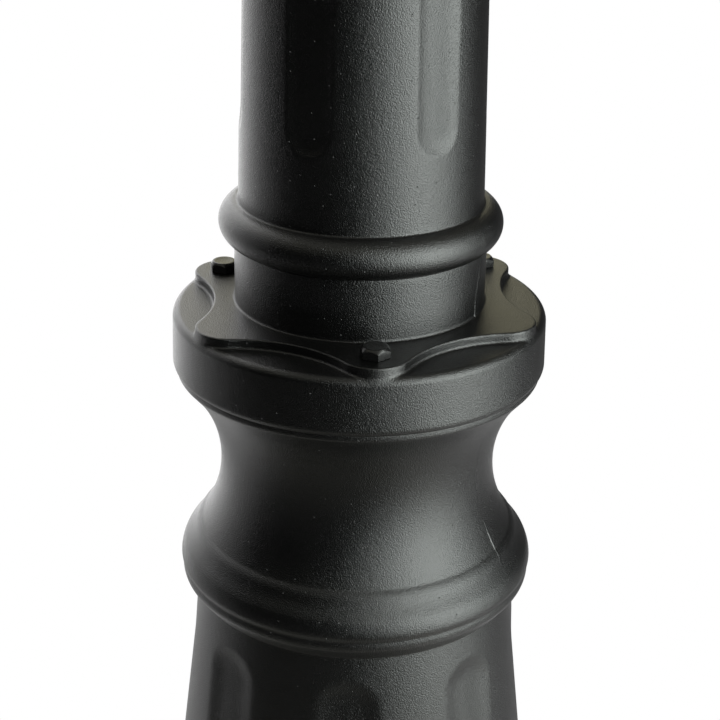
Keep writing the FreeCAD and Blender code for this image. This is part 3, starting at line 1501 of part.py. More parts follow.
def make_terminal_screws():
    body = new_body("terminal_screws")
    head = less(TERMINAL_TOP, "terminal_screw_sink")
    sketch = new_sketch(body, "screw_outline", "XY_Plane", lift=head)
    ring(sketch, "terminal_screw_radius", FIRST_TERMINAL, "terminal_offset")
    length = less("terminal_height*terminal_well_share", "terminal_screw_sink")
    screw = feature(body, "Pad", "screw", sketch, length, backwards=True)
    repeat_across(body, "screws", [screw], TERMINAL_PITCH, "terminal_count")
    return body


def make_cable_gland():
    body = new_body("cable_gland")
    dome_foot = total(BASE_TOP, "gland_flange_height")
    foot = less(FITTER_TOP, "gland_nut_height", "gland_clearance")
    turned(body, "barrel", [
        ("gland_bore_radius", foot),
        ("gland_radius", foot),
        ("gland_radius", BASE_TOP),
        ("gland_radius + gland_clearance", BASE_TOP),
        ("gland_radius + gland_clearance", total(dome_foot, "gland_dome_height/2"), "gland_dome_bulge"),
        ("gland_bore_radius + gland_clearance", total(dome_foot, "gland_dome_height")),
        ("gland_bore_radius", total(dome_foot, "gland_dome_height")),
    ])
    sketch = new_sketch(body, "flats_outline", "XY_Plane", lift=BASE_TOP)
    outline(sketch, polygon_corners(6, "gland_flange_corner_radius"))
    ring(sketch, "(gland_bore_radius + gland_radius)/2")
    feature(body, "Pad", "flats", sketch, "gland_flange_height")
    return body


def make_gland_nut():
    body = new_body("gland_nut")
    sketch = new_sketch(body, "nut_outline", "XY_Plane", lift=FITTER_TOP)
    outline(sketch, polygon_corners(6, "gland_flange_corner_radius"))
    ring(sketch, "gland_radius + bolt_thread_clearance")
    feature(body, "Pad", "nut", sketch, "gland_nut_height", backwards=True)
    return body


def make_earth_screw():
    """A hexagon screw with its washer, for the earth wire."""
    body = new_body("earth_screw")
    sketch = new_sketch(body, "washer_outline", "XY_Plane", lift=BASE_TOP)
    ring(sketch, "earth_washer_radius", *EARTH_PLACE)
    feature(body, "Pad", "washer", sketch, "earth_washer_thickness")
    seat = total(BASE_TOP, "earth_washer_thickness")
    sketch = new_sketch(body, "head_outline", "XY_Plane", lift=seat)
    outline(sketch, polygon_corners(6, "earth_head_corner_radius", *(f"({place})" for place in EARTH_PLACE)))
    feature(body, "Pad", "head", sketch, "earth_head_height")
    sketch = new_sketch(body, "shank_outline", "XY_Plane", lift=BASE_TOP)
    ring(sketch, "earth_screw_radius", *EARTH_PLACE)
    feature(body, "Pad", "shank", sketch, "base_plate_thickness", backwards=True)
    return body


PANE_NAMES = ("right_front", "right_rear", "rear", "left_rear", "left_front")


def make_all():
    pole_screw_height = less(NECK_TOP, "set_screw_drop")
    fitter_screw_place = total(FITTER_FOOT, "fitter_screw_height")
    parts = [
        make_pedestal(),
        make_coupling_flange(),
        hex_bolts("coupling_bolts", "bolt_circle_radius", PAD_TOP,
                  "pad_height + drum_height + bolt_thread_length", "bolt_count"),
        make_pole(),
        make_set_screws("pole_set_screw", SPIGOT_RADIUS, pole_screw_height, None),
        make_lantern_fitter(),
        make_set_screws("fitter_set_screws", "pole_head_radius", fitter_screw_place, "fitter_screw_count"),
        make_lantern_base(),
        hex_bolts("base_bolts", "base_bolt_circle_radius", BASE_TOP, "base_bolt_length", "bolt_count"),
        make_cage(),
        make_cage_screws(),
    ]
    for number, name in enumerate(PANE_NAMES, start=1):
        parts.append(make_glass_pane(number, f"glass_pane_{name}"))
    parts += [
        make_glazing_ring("lower_glazing_ring", "glazing_ring_lift"),
        make_glazing_ring("upper_glazing_ring", "cage_height - cage_flange_thickness - glazing_ring_height"),
        make_glazing_screws(),
        make_door_frame(),
        make_door_glass(),
        make_door_glass_clips(),
        make_door_knob(),
        make_door_catch(),
        make_hinge_pins(),
        make_roof_gasket(),
        make_roof(),
        make_vent_drum(),
        make_vent_cap(),
        make_finial(),
        make_roof_bridge(),
        make_bridge_screws(),
        make_finial_rod(),
        make_rod_nuts(),
        make_holder_bracket(),
        make_bracket_screws(),
        make_lamp_holder(),
        make_holder_nut(),
        make_socket_shell(),
        make_bulb_cap(),
        make_bulb_collar(),
        make_bulb_globe(),
        make_terminal_block(),
        make_terminal_screws(),
        make_cable_gland(),
        make_gland_nut(),
        make_earth_screw(),
    ]
    return parts


def failed(item):
    return any(word in item.State for word in ("Invalid", "Error"))


parts = make_all()
document.recompute()
broken = [item.Name for item in document.Objects if failed(item)]
if broken:
    raise SystemExit(f"These objects failed: {broken}")
for part in parts:
    if part.Shape.isNull() or not part.Shape.isValid():
        raise SystemExit(f"{part.Label} has no valid shape")
os.makedirs("parts", exist_ok=True)
for part in parts:
    part.Shape.exportStep(f"parts/{part.Label}.step")
    print(part.Label, len(part.Shape.Solids), round(part.Shape.Volume))
place = hinge_placement()
axis = place.Rotation.multVec(FreeCAD.Vector(0, 0, 1))
print("hinge point", [round(number, 4) for number in place.Base])
print("hinge axis", [round(number, 6) for number in axis])
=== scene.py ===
import math
from collections import namedtuple

import bmesh
import bpy
import numpy as np
from mathutils import Matrix, Quaternion, Vector


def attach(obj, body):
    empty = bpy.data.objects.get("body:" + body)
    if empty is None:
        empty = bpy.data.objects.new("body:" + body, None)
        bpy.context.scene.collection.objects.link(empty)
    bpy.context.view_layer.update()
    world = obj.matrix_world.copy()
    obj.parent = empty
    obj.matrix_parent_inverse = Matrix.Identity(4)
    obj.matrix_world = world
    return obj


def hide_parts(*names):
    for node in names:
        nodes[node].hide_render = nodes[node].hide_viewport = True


# A cast aluminium lamp post under a satin black powder coat, seen close to at its bolted joint

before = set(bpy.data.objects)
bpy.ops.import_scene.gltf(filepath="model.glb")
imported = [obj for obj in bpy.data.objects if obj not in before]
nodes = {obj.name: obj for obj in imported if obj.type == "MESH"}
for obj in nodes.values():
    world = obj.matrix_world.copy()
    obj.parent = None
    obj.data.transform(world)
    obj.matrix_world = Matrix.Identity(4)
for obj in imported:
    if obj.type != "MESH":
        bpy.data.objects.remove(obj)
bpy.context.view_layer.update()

MM = 0.001


class Signal:
    """What a shader node gives, so that sums on it read as plain arithmetic."""

    def __init__(self, finish, socket):
        self.finish = finish
        self.socket = socket

    def sum(self, operation, first, second):
        return self.finish.node("Math", {"operation": operation}, {0: first, 1: second})

    def __add__(self, other):
        return self.sum("ADD", self, other)

    def __radd__(self, other):
        return self.sum("ADD", other, self)

    def __sub__(self, other):
        return self.sum("SUBTRACT", self, other)

    def __rsub__(self, other):
        return self.sum("SUBTRACT", other, self)

    def __mul__(self, other):
        return self.sum("MULTIPLY", self, other)

    def __rmul__(self, other):
        return self.sum("MULTIPLY", other, self)

    def larger(self, other):
        return self.sum("MAXIMUM", self, other)

    def rise(self, low, high):
        """0 below low, 1 above high and a smooth step between."""
        return self.finish.node("MapRange", {"interpolation_type": "SMOOTHSTEP"},
                                {"Value": self, "From Min": low, "From Max": high})

    def part(self, name):
        """One of the three numbers of a vector."""
        return self.finish.node("SeparateXYZ", {}, {0: self}, name)


NOISE_DETAIL = 2.0
# the share of a speck that is solid, and how sharply cells with and without one are told apart
SPECK_CORE = 0.35
CHANCE_EDGE = 0.01


class Finish:
    """A material in the making: its nodes and the places on the object that they read."""

    def __init__(self, name, tree=None):
        if tree is None:
            self.material = bpy.data.materials.new(name)
            self.material.use_nodes = True
            tree = self.material.node_tree
        self.tree = tree
        self.tree.nodes.clear()
        self.place = self.node("TexCoord", {}, {}, "Object")

    def node(self, kind, settings, inputs, output=0):
        """A node of that kind with its settings and inputs, given back as one of its outputs."""
        made = self.tree.nodes.new("ShaderNode" + kind)
        for name, setting in settings.items():
            setattr(made, name, setting)
        for name, given in inputs.items():
            if isinstance(given, Signal):
                self.tree.links.new(given.socket, made.inputs[name])
            else:
                made.inputs[name].default_value = given
        return Signal(self, made.outputs[output]) if len(made.outputs) else None

    def rays(self):
        """Three signals: 1 for what the camera, a shiny surface or a clear one sees."""
        path = self.node("LightPath", {}, {}).socket.node
        kinds = ("Camera", "Glossy", "Transmission")
        return [Signal(self, path.outputs[f"Is {kind} Ray"]) for kind in kinds]

    def noise(self, size, stretch=None):
        """Cloudy noise from 0 to 1 with features of about that size in metres."""
        place = self.place
        if stretch:
            place = self.node("VectorMath", {"operation": "MULTIPLY"}, {0: place, 1: stretch})
        inputs = {"Vector": place, "Scale": 1 / size, "Detail": NOISE_DETAIL}
        return self.node("TexNoise", {}, inputs)

    def specks(self, spacing, size, share):
        """1 in small round spots, one to a cell of that spacing, in that share of the cells."""
        settings = {"feature": "F1"}
        inputs = {"Vector": self.place, "Scale": 1 / spacing}
        spots = self.node("TexVoronoi", settings, inputs, "Distance")
        chance = self.node("TexVoronoi", settings, inputs, "Color").part("X")
        near = 1 - spots.rise(SPECK_CORE * size / spacing, size / spacing)
        return near * (1 - chance.rise(share - CHANCE_EDGE, share + CHANCE_EDGE))

    def blend(self, share, first, second):
        """A colour between two, by a share from 0 to 1."""
        inputs = {"Factor": share, "A": first, "B": second}
        return self.node("Mix", {"data_type": "RGBA"}, inputs, "Result")

    def relief(self, height, depth):
        """A normal bent by a height from 0 to 1 that stands for a depth in metres."""
        return self.node("Bump", {}, {"Height": height, "Distance": depth, "Strength": 1.0})

    def shader(self, **inputs):
        """The finished material, its inputs named as the sockets are, with _ for a space."""
        named = {name.replace("_", " "): given for name, given in inputs.items()}
        self.out(self.node("BsdfPrincipled", {}, named))
        return self.material

    def out(self, surface):
        self.node("OutputMaterial", {"target": "ALL"}, {"Surface": surface})


def grey(level, tint=(1.0, 1.0, 1.0)):
    return tuple(level * share for share in tint) + (1.0,)


# Finishes, one function for each

POWDER_TINT = (0.94, 1.0, 0.98)
POWDER_DARK = grey(0.0012, POWDER_TINT)
POWDER_LIGHT = grey(0.0028, POWDER_TINT)
DUST_COLOUR = grey(0.16)
DUST_COVER = 0.7
SPECK_SIZE = 0.36 * MM


def powder_coat():
    """Satin black powder coat: orange peel, a fine grain, a few pits and settled dust."""
    coat = Finish("black_powder_coat")
    grain = coat.noise(0.45 * MM)
    peel = coat.noise(2.4 * MM)
    cloud = coat.noise(45 * MM)
    pits = coat.specks(spacing=3.6 * MM, size=SPECK_SIZE, share=0.4)
    dust = coat.specks(spacing=4.2 * MM, size=SPECK_SIZE, share=0.5)
    height = grain + peel * 0.25 - pits * 0.9 + dust * 0.3
    colour = coat.blend(cloud, POWDER_DARK, POWDER_LIGHT)
    colour = coat.blend(dust * DUST_COVER, colour, DUST_COLOUR)
    return coat.shader(
        Base_Color=colour,
        Roughness=0.27 + 0.05 * cloud + 0.1 * dust + 0.2 * pits,
        Specular_IOR_Level=0.6,
        Normal=coat.relief(height, depth=0.23 * MM),
    )


def blackened_steel():
    """Black oxide over machined steel, a little cloudy."""
    steel = Finish("blackened_steel")
    cloud = steel.noise(6 * MM)
    grain = steel.noise(0.4 * MM)
    return steel.shader(
        Base_Color=steel.blend(cloud, grey(0.008), grey(0.015)),
        Metallic=0.2,
        Roughness=0.2 + 0.12 * cloud,
        Normal=steel.relief(grain, depth=0.012 * MM),
    )


DRAWN_LINES = (0.15, 0.15, 1.0)


def plated(name, dark, light, roughness):
    """Plated or turned metal with a faint cloudiness and drawn lines."""
    metal = Finish(name)
    cloud = metal.noise(8 * MM)
    lines = metal.noise(0.5 * MM, stretch=DRAWN_LINES)
    return metal.shader(
        Base_Color=metal.blend(cloud, (*dark, 1.0), (*light, 1.0)),
        Metallic=1.0,
        Roughness=roughness + 0.1 * cloud,
        Normal=metal.relief(lines, depth=0.008 * MM),
    )


def zinc_plate():
    return plated("zinc_plated_steel", (0.5, 0.5, 0.48), (0.68, 0.68, 0.67), 0.28)


def spring_steel():
    return plated("spring_steel", (0.42, 0.42, 0.41), (0.56, 0.56, 0.55), 0.22)


def nickel_plate():
    return plated("nickel_plate", (0.6, 0.58, 0.54), (0.74, 0.72, 0.68), 0.16)


def turned_brass():
    return plated("turned_brass", (0.62, 0.42, 0.16), (0.78, 0.56, 0.25), 0.2)


def moulding(name, dark, light, roughness, grain_size, depth, **more):
    """Rubber, plastic or porcelain: a plain body with a fine skin."""
    body = Finish(name)
    cloud = body.noise(20 * MM)
    grain = body.noise(grain_size)
    return body.shader(
        Base_Color=body.blend(cloud, (*dark, 1.0), (*light, 1.0)),
        Roughness=roughness + 0.06 * cloud,
        Normal=body.relief(grain, depth),
        **more,
    )


def black_rubber():
    return moulding("black_rubber", (0.012, 0.012, 0.012), (0.022, 0.022, 0.022),
                    0.68, 0.8 * MM, 0.03 * MM)


def white_porcelain():
    return moulding("white_porcelain", (0.7, 0.69, 0.65), (0.8, 0.79, 0.76),
                    0.1, 3 * MM, 0.01 * MM, Coat_Weight=0.6)


def white_plastic():
    return moulding("white_plastic", (0.7, 0.7, 0.7), (0.76, 0.76, 0.76),
                    0.38, 0.7 * MM, 0.01 * MM)


def opal_plastic():
    return moulding("opal_plastic", (0.78, 0.77, 0.74), (0.84, 0.83, 0.8),
                    0.32, 1.2 * MM, 0.004 * MM, Subsurface_Weight=0.4,
                    Subsurface_Radius=(0.012, 0.011, 0.009), Subsurface_Scale=1.0)


def clear_nylon():
    return moulding("clear_nylon", (0.66, 0.66, 0.6), (0.76, 0.76, 0.7),
                    0.3, 1.5 * MM, 0.01 * MM, Transmission_Weight=0.35)


def black_plastic():
    return moulding("black_plastic", (0.014, 0.014, 0.014), (0.022, 0.022, 0.022),
                    0.42, 0.6 * MM, 0.015 * MM)


def clear_glass():
    """Float glass, with the faintest waviness."""
    pane = Finish("clear_glass")
    wave = pane.noise(60 * MM)
    smear = pane.noise(25 * MM)
    return pane.shader(
        Base_Color=(0.97, 0.99, 0.985, 1.0),
        Roughness=0.02 * smear,
        IOR=1.5,
        Transmission_Weight=1.0,
        Normal=pane.relief(wave, depth=0.02 * MM),
    )


FINISHES = {
    "black_powder_coat": powder_coat,
    "blackened_steel": blackened_steel,
    "zinc_plated_steel": zinc_plate,
    "clear_glass": clear_glass,
    "spring_steel": spring_steel,
    "turned_brass": turned_brass,
    "black_rubber": black_rubber,
    "white_porcelain": white_porcelain,
    "nickel_plate": nickel_plate,
    "white_plastic": white_plastic,
    "opal_plastic": opal_plastic,
    "clear_nylon": clear_nylon,
    "black_plastic": black_plastic,
}


def finish_the_parts():
    """Every part of the model gets the finish of its material slot."""
    made = {}
    for part in nodes.values():
        for seat in part.material_slots:
            slot = seat.material.name.split(".")[0]
            if slot not in made:
                made[slot] = FINISHES[slot]()
            seat.material = made[slot]


def mesh_object(name, points, faces, material):
    mesh = bpy.data.meshes.new(name)
    mesh.from_pydata(points, [], faces)
    mesh.materials.append(material)
    made = bpy.data.objects.new(name, mesh)
    bpy.context.scene.collection.objects.link(made)
    return made


# The castings and bolts seen close to. They follow the frame's own sizes, here in mm and degrees,
# and add soft edges, smooth flutes and the marks of the mould.

SHARP_FROM = 50.0
BEZIER_STEPS = 4
LARGEST_SOFT_SHARE = 0.45


def on_edge(first, second, bulge, share):
    """A point part of the way along an edge of an outline; a bulging edge is an arc."""
    run = second[0] - first[0]
    rise = second[1] - first[1]
    if not bulge:
        return first[0] + run * share, first[1] + rise * share
    chord = math.hypot(run, rise)
    offset = (chord * chord / 4 - bulge * bulge) / (2 * bulge)
    across = (first[0] + second[0]) / 2 - rise / chord * offset
    up = (first[1] + second[1]) / 2 + run / chord * offset
    start = math.atan2(first[1] - up, first[0] - across)
    end = math.atan2(second[1] - up, second[0] - across)
    turn = (end - start + math.pi) % (2 * math.pi) - math.pi
    radius = math.hypot(first[0] - across, first[1] - up)
    angle = start + turn * share
    return across + radius * math.cos(angle), up + radius * math.sin(angle)


def soft_outline(corners, softness, step):
    """Points along an outline whose corners are rounded off by Bezier curves.

    A corner is (radius, height) and, where they aren't the usual ones, the bulge of the edge
    after it, how far its rounding reaches, and the spacing of the points after it."""
    full = [(corner + (0, softness, step)[len(corner) - 2:]) for corner in corners]
    points = []
    for number in range(len(full) - 1):
        radius, height, bulge, soft, pace = full[number]
        corner = (radius, height)
        after = full[number + 1]
        chord = math.hypot(after[0] - radius, after[1] - height)
        leave = min(LARGEST_SOFT_SHARE, soft / chord) if number else 0.0
        arrive = min(LARGEST_SOFT_SHARE, after[3] / chord) if number + 2 < len(full) else 0.0
        count = max(1, round(chord * (1 - leave - arrive) / pace))
        if number and leave:
            ends = (points[-1], corner, on_edge(corner, after[:2], bulge, leave))
            for place in range(1, BEZIER_STEPS):
                share = place / BEZIER_STEPS
                weights = ((1 - share) ** 2, 2 * share * (1 - share), share ** 2)
                points.append(tuple(
                    sum(weight * point[axis] for weight, point in zip(weights, ends))
                    for axis in (0, 1)
                ))
        skip = 1 if number and not leave else 0
        for place in range(skip, count + 1):
            share = leave + (1 - leave - arrive) * place / count
            points.append(on_edge(corner, after[:2], bulge, share))
    return points


def on_taper(foot, head, height):
    """The radius at a height on a straight taper, with that height."""
    share = (height - foot[1]) / (head[1] - foot[1])
    return foot[0] + (head[0] - foot[0]) * share, height


def bearings_round(step, fine_from, fine_to, fine_step):
    """Bearings all the way round in degrees, finer between two of them."""
    coarse = [bearing for bearing in np.arange(-180.0, 180.0, step)
              if not fine_from <= bearing <= fine_to]
    return np.array(sorted(coarse + list(np.arange(fine_from, fine_to, fine_step))))


def swell(height, middle, spread):
    """1 at a middle height, falling off smoothly above and below it."""
    return math.exp(-((height - middle) / spread) ** 2)


def ridge(bearings, radius, bearing, width, height):
    """How far a narrow raised line down a casting stands out at each bearing."""
    across = radius * np.radians(bearings - bearing) / width
    return height * np.exp(-across * across)


def lower_of(first, second, blend):
    """The smaller of two distances, run smoothly into each other over a blend."""
    near = np.maximum(blend - np.abs(first - second), 0.0) / blend
    return np.minimum(first, second) - near * near * blend / 4


Flutes = namedtuple("Flutes", "first last half_width depth number start blend")
FLUTE_FULLNESS = 1.5


def fluted(radius, along, bearings, flutes):
    """The radius of a shaft where round-ended flutes with steep walls are let into it."""
    pitch = 360.0 / flutes.number
    off = np.radians((bearings - flutes.start + pitch / 2) % pitch - pitch / 2)
    beyond = max(flutes.first - along, along - flutes.last, 0.0)
    share = ((radius * np.sin(off)) ** 2 + beyond ** 2) / flutes.half_width ** 2
    floor = radius - flutes.depth * (1 - share ** FLUTE_FULLNESS)
    return lower_of(np.full_like(floor, radius), floor, flutes.blend)


def closed_skin(name, rows, bearings, node, holes=()):
    """A closed mesh from rings of (radius, height), drilled, for a casting of the frame."""
    radii = np.array([np.broadcast_to(radius, bearings.shape) for radius, height in rows])
    heights = np.array([np.broadcast_to(height, bearings.shape) for radius, height in rows])
    angles = np.radians(bearings)
    points = np.stack([radii * np.cos(angles), radii * np.sin(angles), heights], axis=-1) * MM
    count = len(bearings)
    faces = []
    for row in range(len(rows)):
        start = row * count
        above = (row + 1) % len(rows) * count
        for turn in range(count):
            after = (turn + 1) % count
            faces.append((start + turn, start + after, above + after, above + turn))
    finish = nodes[node].material_slots[0].material
    made = mesh_object(name, points.reshape(-1, 3).tolist(), faces, finish)
    if holes:
        drill(made, holes)
    made.data.shade_smooth()
    made.data.set_sharp_from_angle(angle=math.radians(SHARP_FROM))
    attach(made, "root")
    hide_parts(node)


HOLE_SIDES = 48


def drill(piece, holes):
    """Round holes, each (place, direction, radius, length), its place the middle of its length."""
    bits = bmesh.new()
    for place, direction, radius, length in holes:
        turn = Vector(direction).to_track_quat("Z", "Y").to_matrix().to_4x4()
        seat = Matrix.Translation(Vector(place) * MM) @ turn
        bmesh.ops.create_cone(bits, cap_ends=True, segments=HOLE_SIDES, radius1=radius * MM,
                              radius2=radius * MM, depth=length * MM, matrix=seat)
    mesh = bpy.data.meshes.new("drill_bits")
    bits.to_mesh(mesh)
    bits.free()
    tool = bpy.data.objects.new("drill_bits", mesh)
    bpy.context.scene.collection.objects.link(tool)
    cut = piece.modifiers.new("holes", "BOOLEAN")
    cut.operation = "DIFFERENCE"
    cut.solver = "EXACT"
    cut.object = tool
    graph = bpy.context.evaluated_depsgraph_get()
    drilled = bpy.data.meshes.new_from_object(piece.evaluated_get(graph))
    piece.modifiers.clear()
    piece.data = drilled
    bpy.data.objects.remove(tool)


def holes_round_the_post(reach, bearings, height, radius, length):
    """The same upright hole at several bearings."""
    holes = []
    for bearing in bearings:
        angle = math.radians(bearing)
        place = (reach * math.cos(angle), reach * math.sin(angle), height)
        holes.append((place, (0, 0, 1), radius, length))
    return holes


# Sizes that the castings share at the joint

SEAM_HEIGHT = 530.0
PAD_HEIGHT = 556.05
NECK_RADIUS = 48.0
NECK_HEIGHT = 579.9
BOLT_CIRCLE = 59.7
BOLT_BEARINGS = (-90.0, 30.0, 150.0)
# the mould's faint mark down the front of the throat and across the bead
MARK_BEARING = -38.7
MARK_WIDTH = 0.5
# what lies further out than this is the outside skin, not a bore
JOINT_SKIN_FROM = 45.0

# The hexagon bolts

HEAD_HALF_WIDTH = 5.0
HEAD_HEIGHT = 4.0
HEAD_TOP_RADIUS = 4.35
HEAD_CHAMFER = 0.95
HEAD_FLAT = 60.0
HEAD_TURN = 35.0
HEAD_STEP = 6.0
# how far the head's softened corners reach along and down
HEAD_EASE = 0.1
HEAD_DROP = 0.06
# the shallow dish in the top of the head
DISH_RIM = 1.0
DISH_WALL = 0.8
SHANK_RADIUS = 3.0
SHANK_LENGTH = 34.5
BOLT_SHARP_FROM = 28.0


def bolt_profile(side):
    """A bolt's outline of (radius, height) above the pad, where its flats stand out by side."""
    shoulder = HEAD_HEIGHT - HEAD_CHAMFER * (side - HEAD_TOP_RADIUS)
    dish = HEAD_TOP_RADIUS - DISH_RIM
    return [
        (SHANK_RADIUS, -SHANK_LENGTH),
        (SHANK_RADIUS, 0.0),
        (side - 2 * HEAD_EASE, 0.0),
        (side, 2 * HEAD_EASE),
        (side, shoulder - HEAD_EASE),
        (side - HEAD_EASE, shoulder + HEAD_DROP),
        (HEAD_TOP_RADIUS + HEAD_EASE, HEAD_HEIGHT - HEAD_DROP),
        (HEAD_TOP_RADIUS - HEAD_EASE, HEAD_HEIGHT),
        (dish, HEAD_HEIGHT - HEAD_DROP),
        (dish - DISH_WALL, HEAD_HEIGHT - 2 * HEAD_DROP),
    ]


def make_bolts():
    """Hexagon heads whose chamfer runs down to a point between the flats, on plain shanks."""
    turns = np.arange(0.0, 360.0, HEAD_STEP)
    side = HEAD_HALF_WIDTH / np.cos(np.radians(turns % HEAD_FLAT - HEAD_FLAT / 2))
    profile = bolt_profile(side)
    count = len(turns)
    points = []
    faces = []
    for bearing in BOLT_BEARINGS:
        angle = math.radians(bearing)
        place = (BOLT_CIRCLE * math.cos(angle), BOLT_CIRCLE * math.sin(angle))
        spin = np.radians(turns + HEAD_TURN + bearing - BOLT_BEARINGS[0])
        start = len(points)
        for radius, height in profile:
            across = place[0] + radius * np.cos(spin)
            aside = place[1] + radius * np.sin(spin)
            level = np.broadcast_to(PAD_HEIGHT + height, across.shape)
            points += (np.stack([across, aside, level], axis=-1) * MM).tolist()
        for row in range(len(profile) - 1):
            low = start + row * count
            high = low + count
            for turn in range(count):
                after = (turn + 1) % count
                faces.append((low + turn, low + after, high + after, high + turn))
        last = start + (len(profile) - 1) * count
        faces.append(tuple(range(last, last + count)))
        faces.append(tuple(reversed(range(start, start + count))))
    finish = nodes["coupling_bolts"].material_slots[0].material
    made = mesh_object("hexagon_bolts", points, faces, finish)
    made.data.shade_smooth()
    made.data.set_sharp_from_angle(angle=math.radians(BOLT_SHARP_FROM))
    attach(made, "root")
    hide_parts("coupling_bolts")


# The pedestal, from its anchor flange up to the seam

CONE_FOOT = (105.0, 84.0)
CONE_HEAD = (64.3, 433.2)
FLUTED_BAND = (CONE_FOOT[1] + 1.2, CONE_HEAD[1] - 1.0)
CONE_FLUTES = Flutes(first=113.8, last=409.7, half_width=11.5, depth=1.6, number=8,
                     start=-7.5, blend=1.1)
# the groove between the small ring and the torus
GROOVE_BAND = (440.5, 453.0)
GROOVE_HEIGHT = 443.6
GROOVE_DEPTH = 0.45
GROOVE_SPREAD = 1.4
# a hooked scratch down the top of the torus, whose burr stands up
SCRATCH_BAND = (454.0, 477.0)
SCRATCH_HEIGHT = 463.5
SCRATCH_SPREAD = 6.5
SCRATCH_BEARING = -34.0
SCRATCH_HOOK = 1.6
SCRATCH_HOOK_HEIGHT = 456.0
SCRATCH_HOOK_SPREAD = 3.0
SCRATCH_WIDTH = 0.26
SCRATCH_BURR = 0.34
# the mould's mark in the throat, here a fine crease that leans
CREASE_BAND = (477.0, 521.0)
CREASE_FADES = (14.0, 6.0)
CREASE_HEIGHT = 492.7
CREASE_LEAN = 0.27
CREASE_DEPTH = 0.1
# the four anchor holes
ANCHOR_CIRCLE = 122.0
ANCHOR_BEARINGS = (0.0, 90.0, 180.0, 270.0)


def pedestal_radius(radius, height, bearings):
    """The pedestal's radius with its flutes, the groove under the torus and the casting's marks."""
    if FLUTED_BAND[0] < height < FLUTED_BAND[1]:
        return fluted(radius, height, bearings, CONE_FLUTES)
    if GROOVE_BAND[0] < height < GROOVE_BAND[1]:
        return radius - GROOVE_DEPTH * swell(height, GROOVE_HEIGHT, GROOVE_SPREAD)
    if SCRATCH_BAND[0] < height < SCRATCH_BAND[1]:
        hook = SCRATCH_HOOK * swell(height, SCRATCH_HOOK_HEIGHT, SCRATCH_HOOK_SPREAD)
        burr = SCRATCH_BURR * swell(height, SCRATCH_HEIGHT, SCRATCH_SPREAD)
        return radius + ridge(bearings, radius, SCRATCH_BEARING - hook, SCRATCH_WIDTH, burr)
    if CREASE_BAND[0] < height < CREASE_BAND[1]:
        fade = min(1.0, (height - CREASE_BAND[0]) / CREASE_FADES[0],
                   (CREASE_BAND[1] - height) / CREASE_FADES[1])
        bearing = MARK_BEARING - (height - CREASE_HEIGHT) * CREASE_LEAN
        return radius - ridge(bearings, radius, bearing, MARK_WIDTH, CREASE_DEPTH * fade)
    return radius


def make_pedestal():
    outside = soft_outline([
        # anchor flange
        (99.0, 0.0), (135.0, 0.0, 0, 0.6, 2.0), (135.0, 8.0, 1.17, 0.3, 0.8),
        (131.0, 12.0, 0, 0.3, 4.0), (113.0, 12.0, -1.17, 0.3, 0.8),
        # foot
        (109.0, 16.0, 0, 0.3, 6.0), (109.0, 50.0, -3.0, 0.8, 1.0), (105.0, 66.0, 8.0, 0.8, 0.8),
        # fluted cone
        (*CONE_FOOT, 0, 1.2, 2.0), (*on_taper(CONE_FOOT, CONE_HEAD, 96.0), 0, 0.0, 0.9),
        (*on_taper(CONE_FOOT, CONE_HEAD, 124.0), 0, 0.0, 9.0),
        (*on_taper(CONE_FOOT, CONE_HEAD, 394.0), 0, 0.0, 0.8), (*CONE_HEAD, 0, 0.9, 0.5),
        # small ring
        (66.4, 434.1, 0, 0.6, 0.4), (70.6, 439.6, 0, 1.2, 0.4),
        # torus
        (71.35, 445.6, 1.32, 0.8, 0.4), (66.0, 455.7, 0.55, 5.0, 0.4),
        # hollow throat
        (62.4, 461.0, -10.1, 0.6, 0.9),
        # lip
        (67.0, 523.2, 0, 0.5, 0.5), (71.0, 527.8, 0, 0.8, 0.4),
        (71.0, SEAM_HEIGHT, 0, 0.25, 2.0), (44.0, SEAM_HEIGHT),
    ], softness=0.6, step=1.0)
    bore = [(44.0, 500.0), (48.55, 492.35), (58.2, 434.0), (99.0, 84.0)]
    bearings = bearings_round(step=1.0, fine_from=-48.0, fine_to=-29.0, fine_step=0.25)
    rows = [(pedestal_radius(radius, height, bearings), height) for radius, height in outside]
    holes = holes_round_the_post(ANCHOR_CIRCLE, ANCHOR_BEARINGS, height=6.0, radius=6.5,
                                 length=20.0)
    holes += holes_round_the_post(BOLT_CIRCLE, BOLT_BEARINGS, height=SEAM_HEIGHT, radius=3.1,
                                  length=19.0)
    closed_skin("pedestal_casting", rows + bore, bearings, "pedestal", holes)


# The pole, from its spigot in the flange up to its head under the lantern

SHAFT_FOOT = (46.3, 595.1)
SHAFT_HEAD = (24.5, 1539.9)
SHAFT_BAND = (596.0, 1539.0)
SHAFT_FLUTES = Flutes(first=631.1, last=1479.9, half_width=8.7, depth=1.4, number=6,
                      start=0.0, blend=0.3)
BEAD_TOP = 595.5
BEAD_MARK_HEIGHT = 588.5
BEAD_MARK_REACH = 6.0
BEAD_MARK_RISE = 0.06
SHAFT_SKIN_FROM = 20.0


def pole_radius(radius, height, bearings):
    """The pole's radius with its flutes and the mould's mark across its bead."""
    if SHAFT_BAND[0] < height < SHAFT_BAND[1] and radius > SHAFT_SKIN_FROM:
        return fluted(radius, height, bearings, SHAFT_FLUTES)
    if NECK_HEIGHT < height < BEAD_TOP and radius > JOINT_SKIN_FROM:
        fade = max(0.0, 1 - abs(height - BEAD_MARK_HEIGHT) / BEAD_MARK_REACH)
        rise = BEAD_MARK_RISE * fade
        return radius + ridge(bearings, radius, MARK_BEARING, MARK_WIDTH, rise)
    return radius


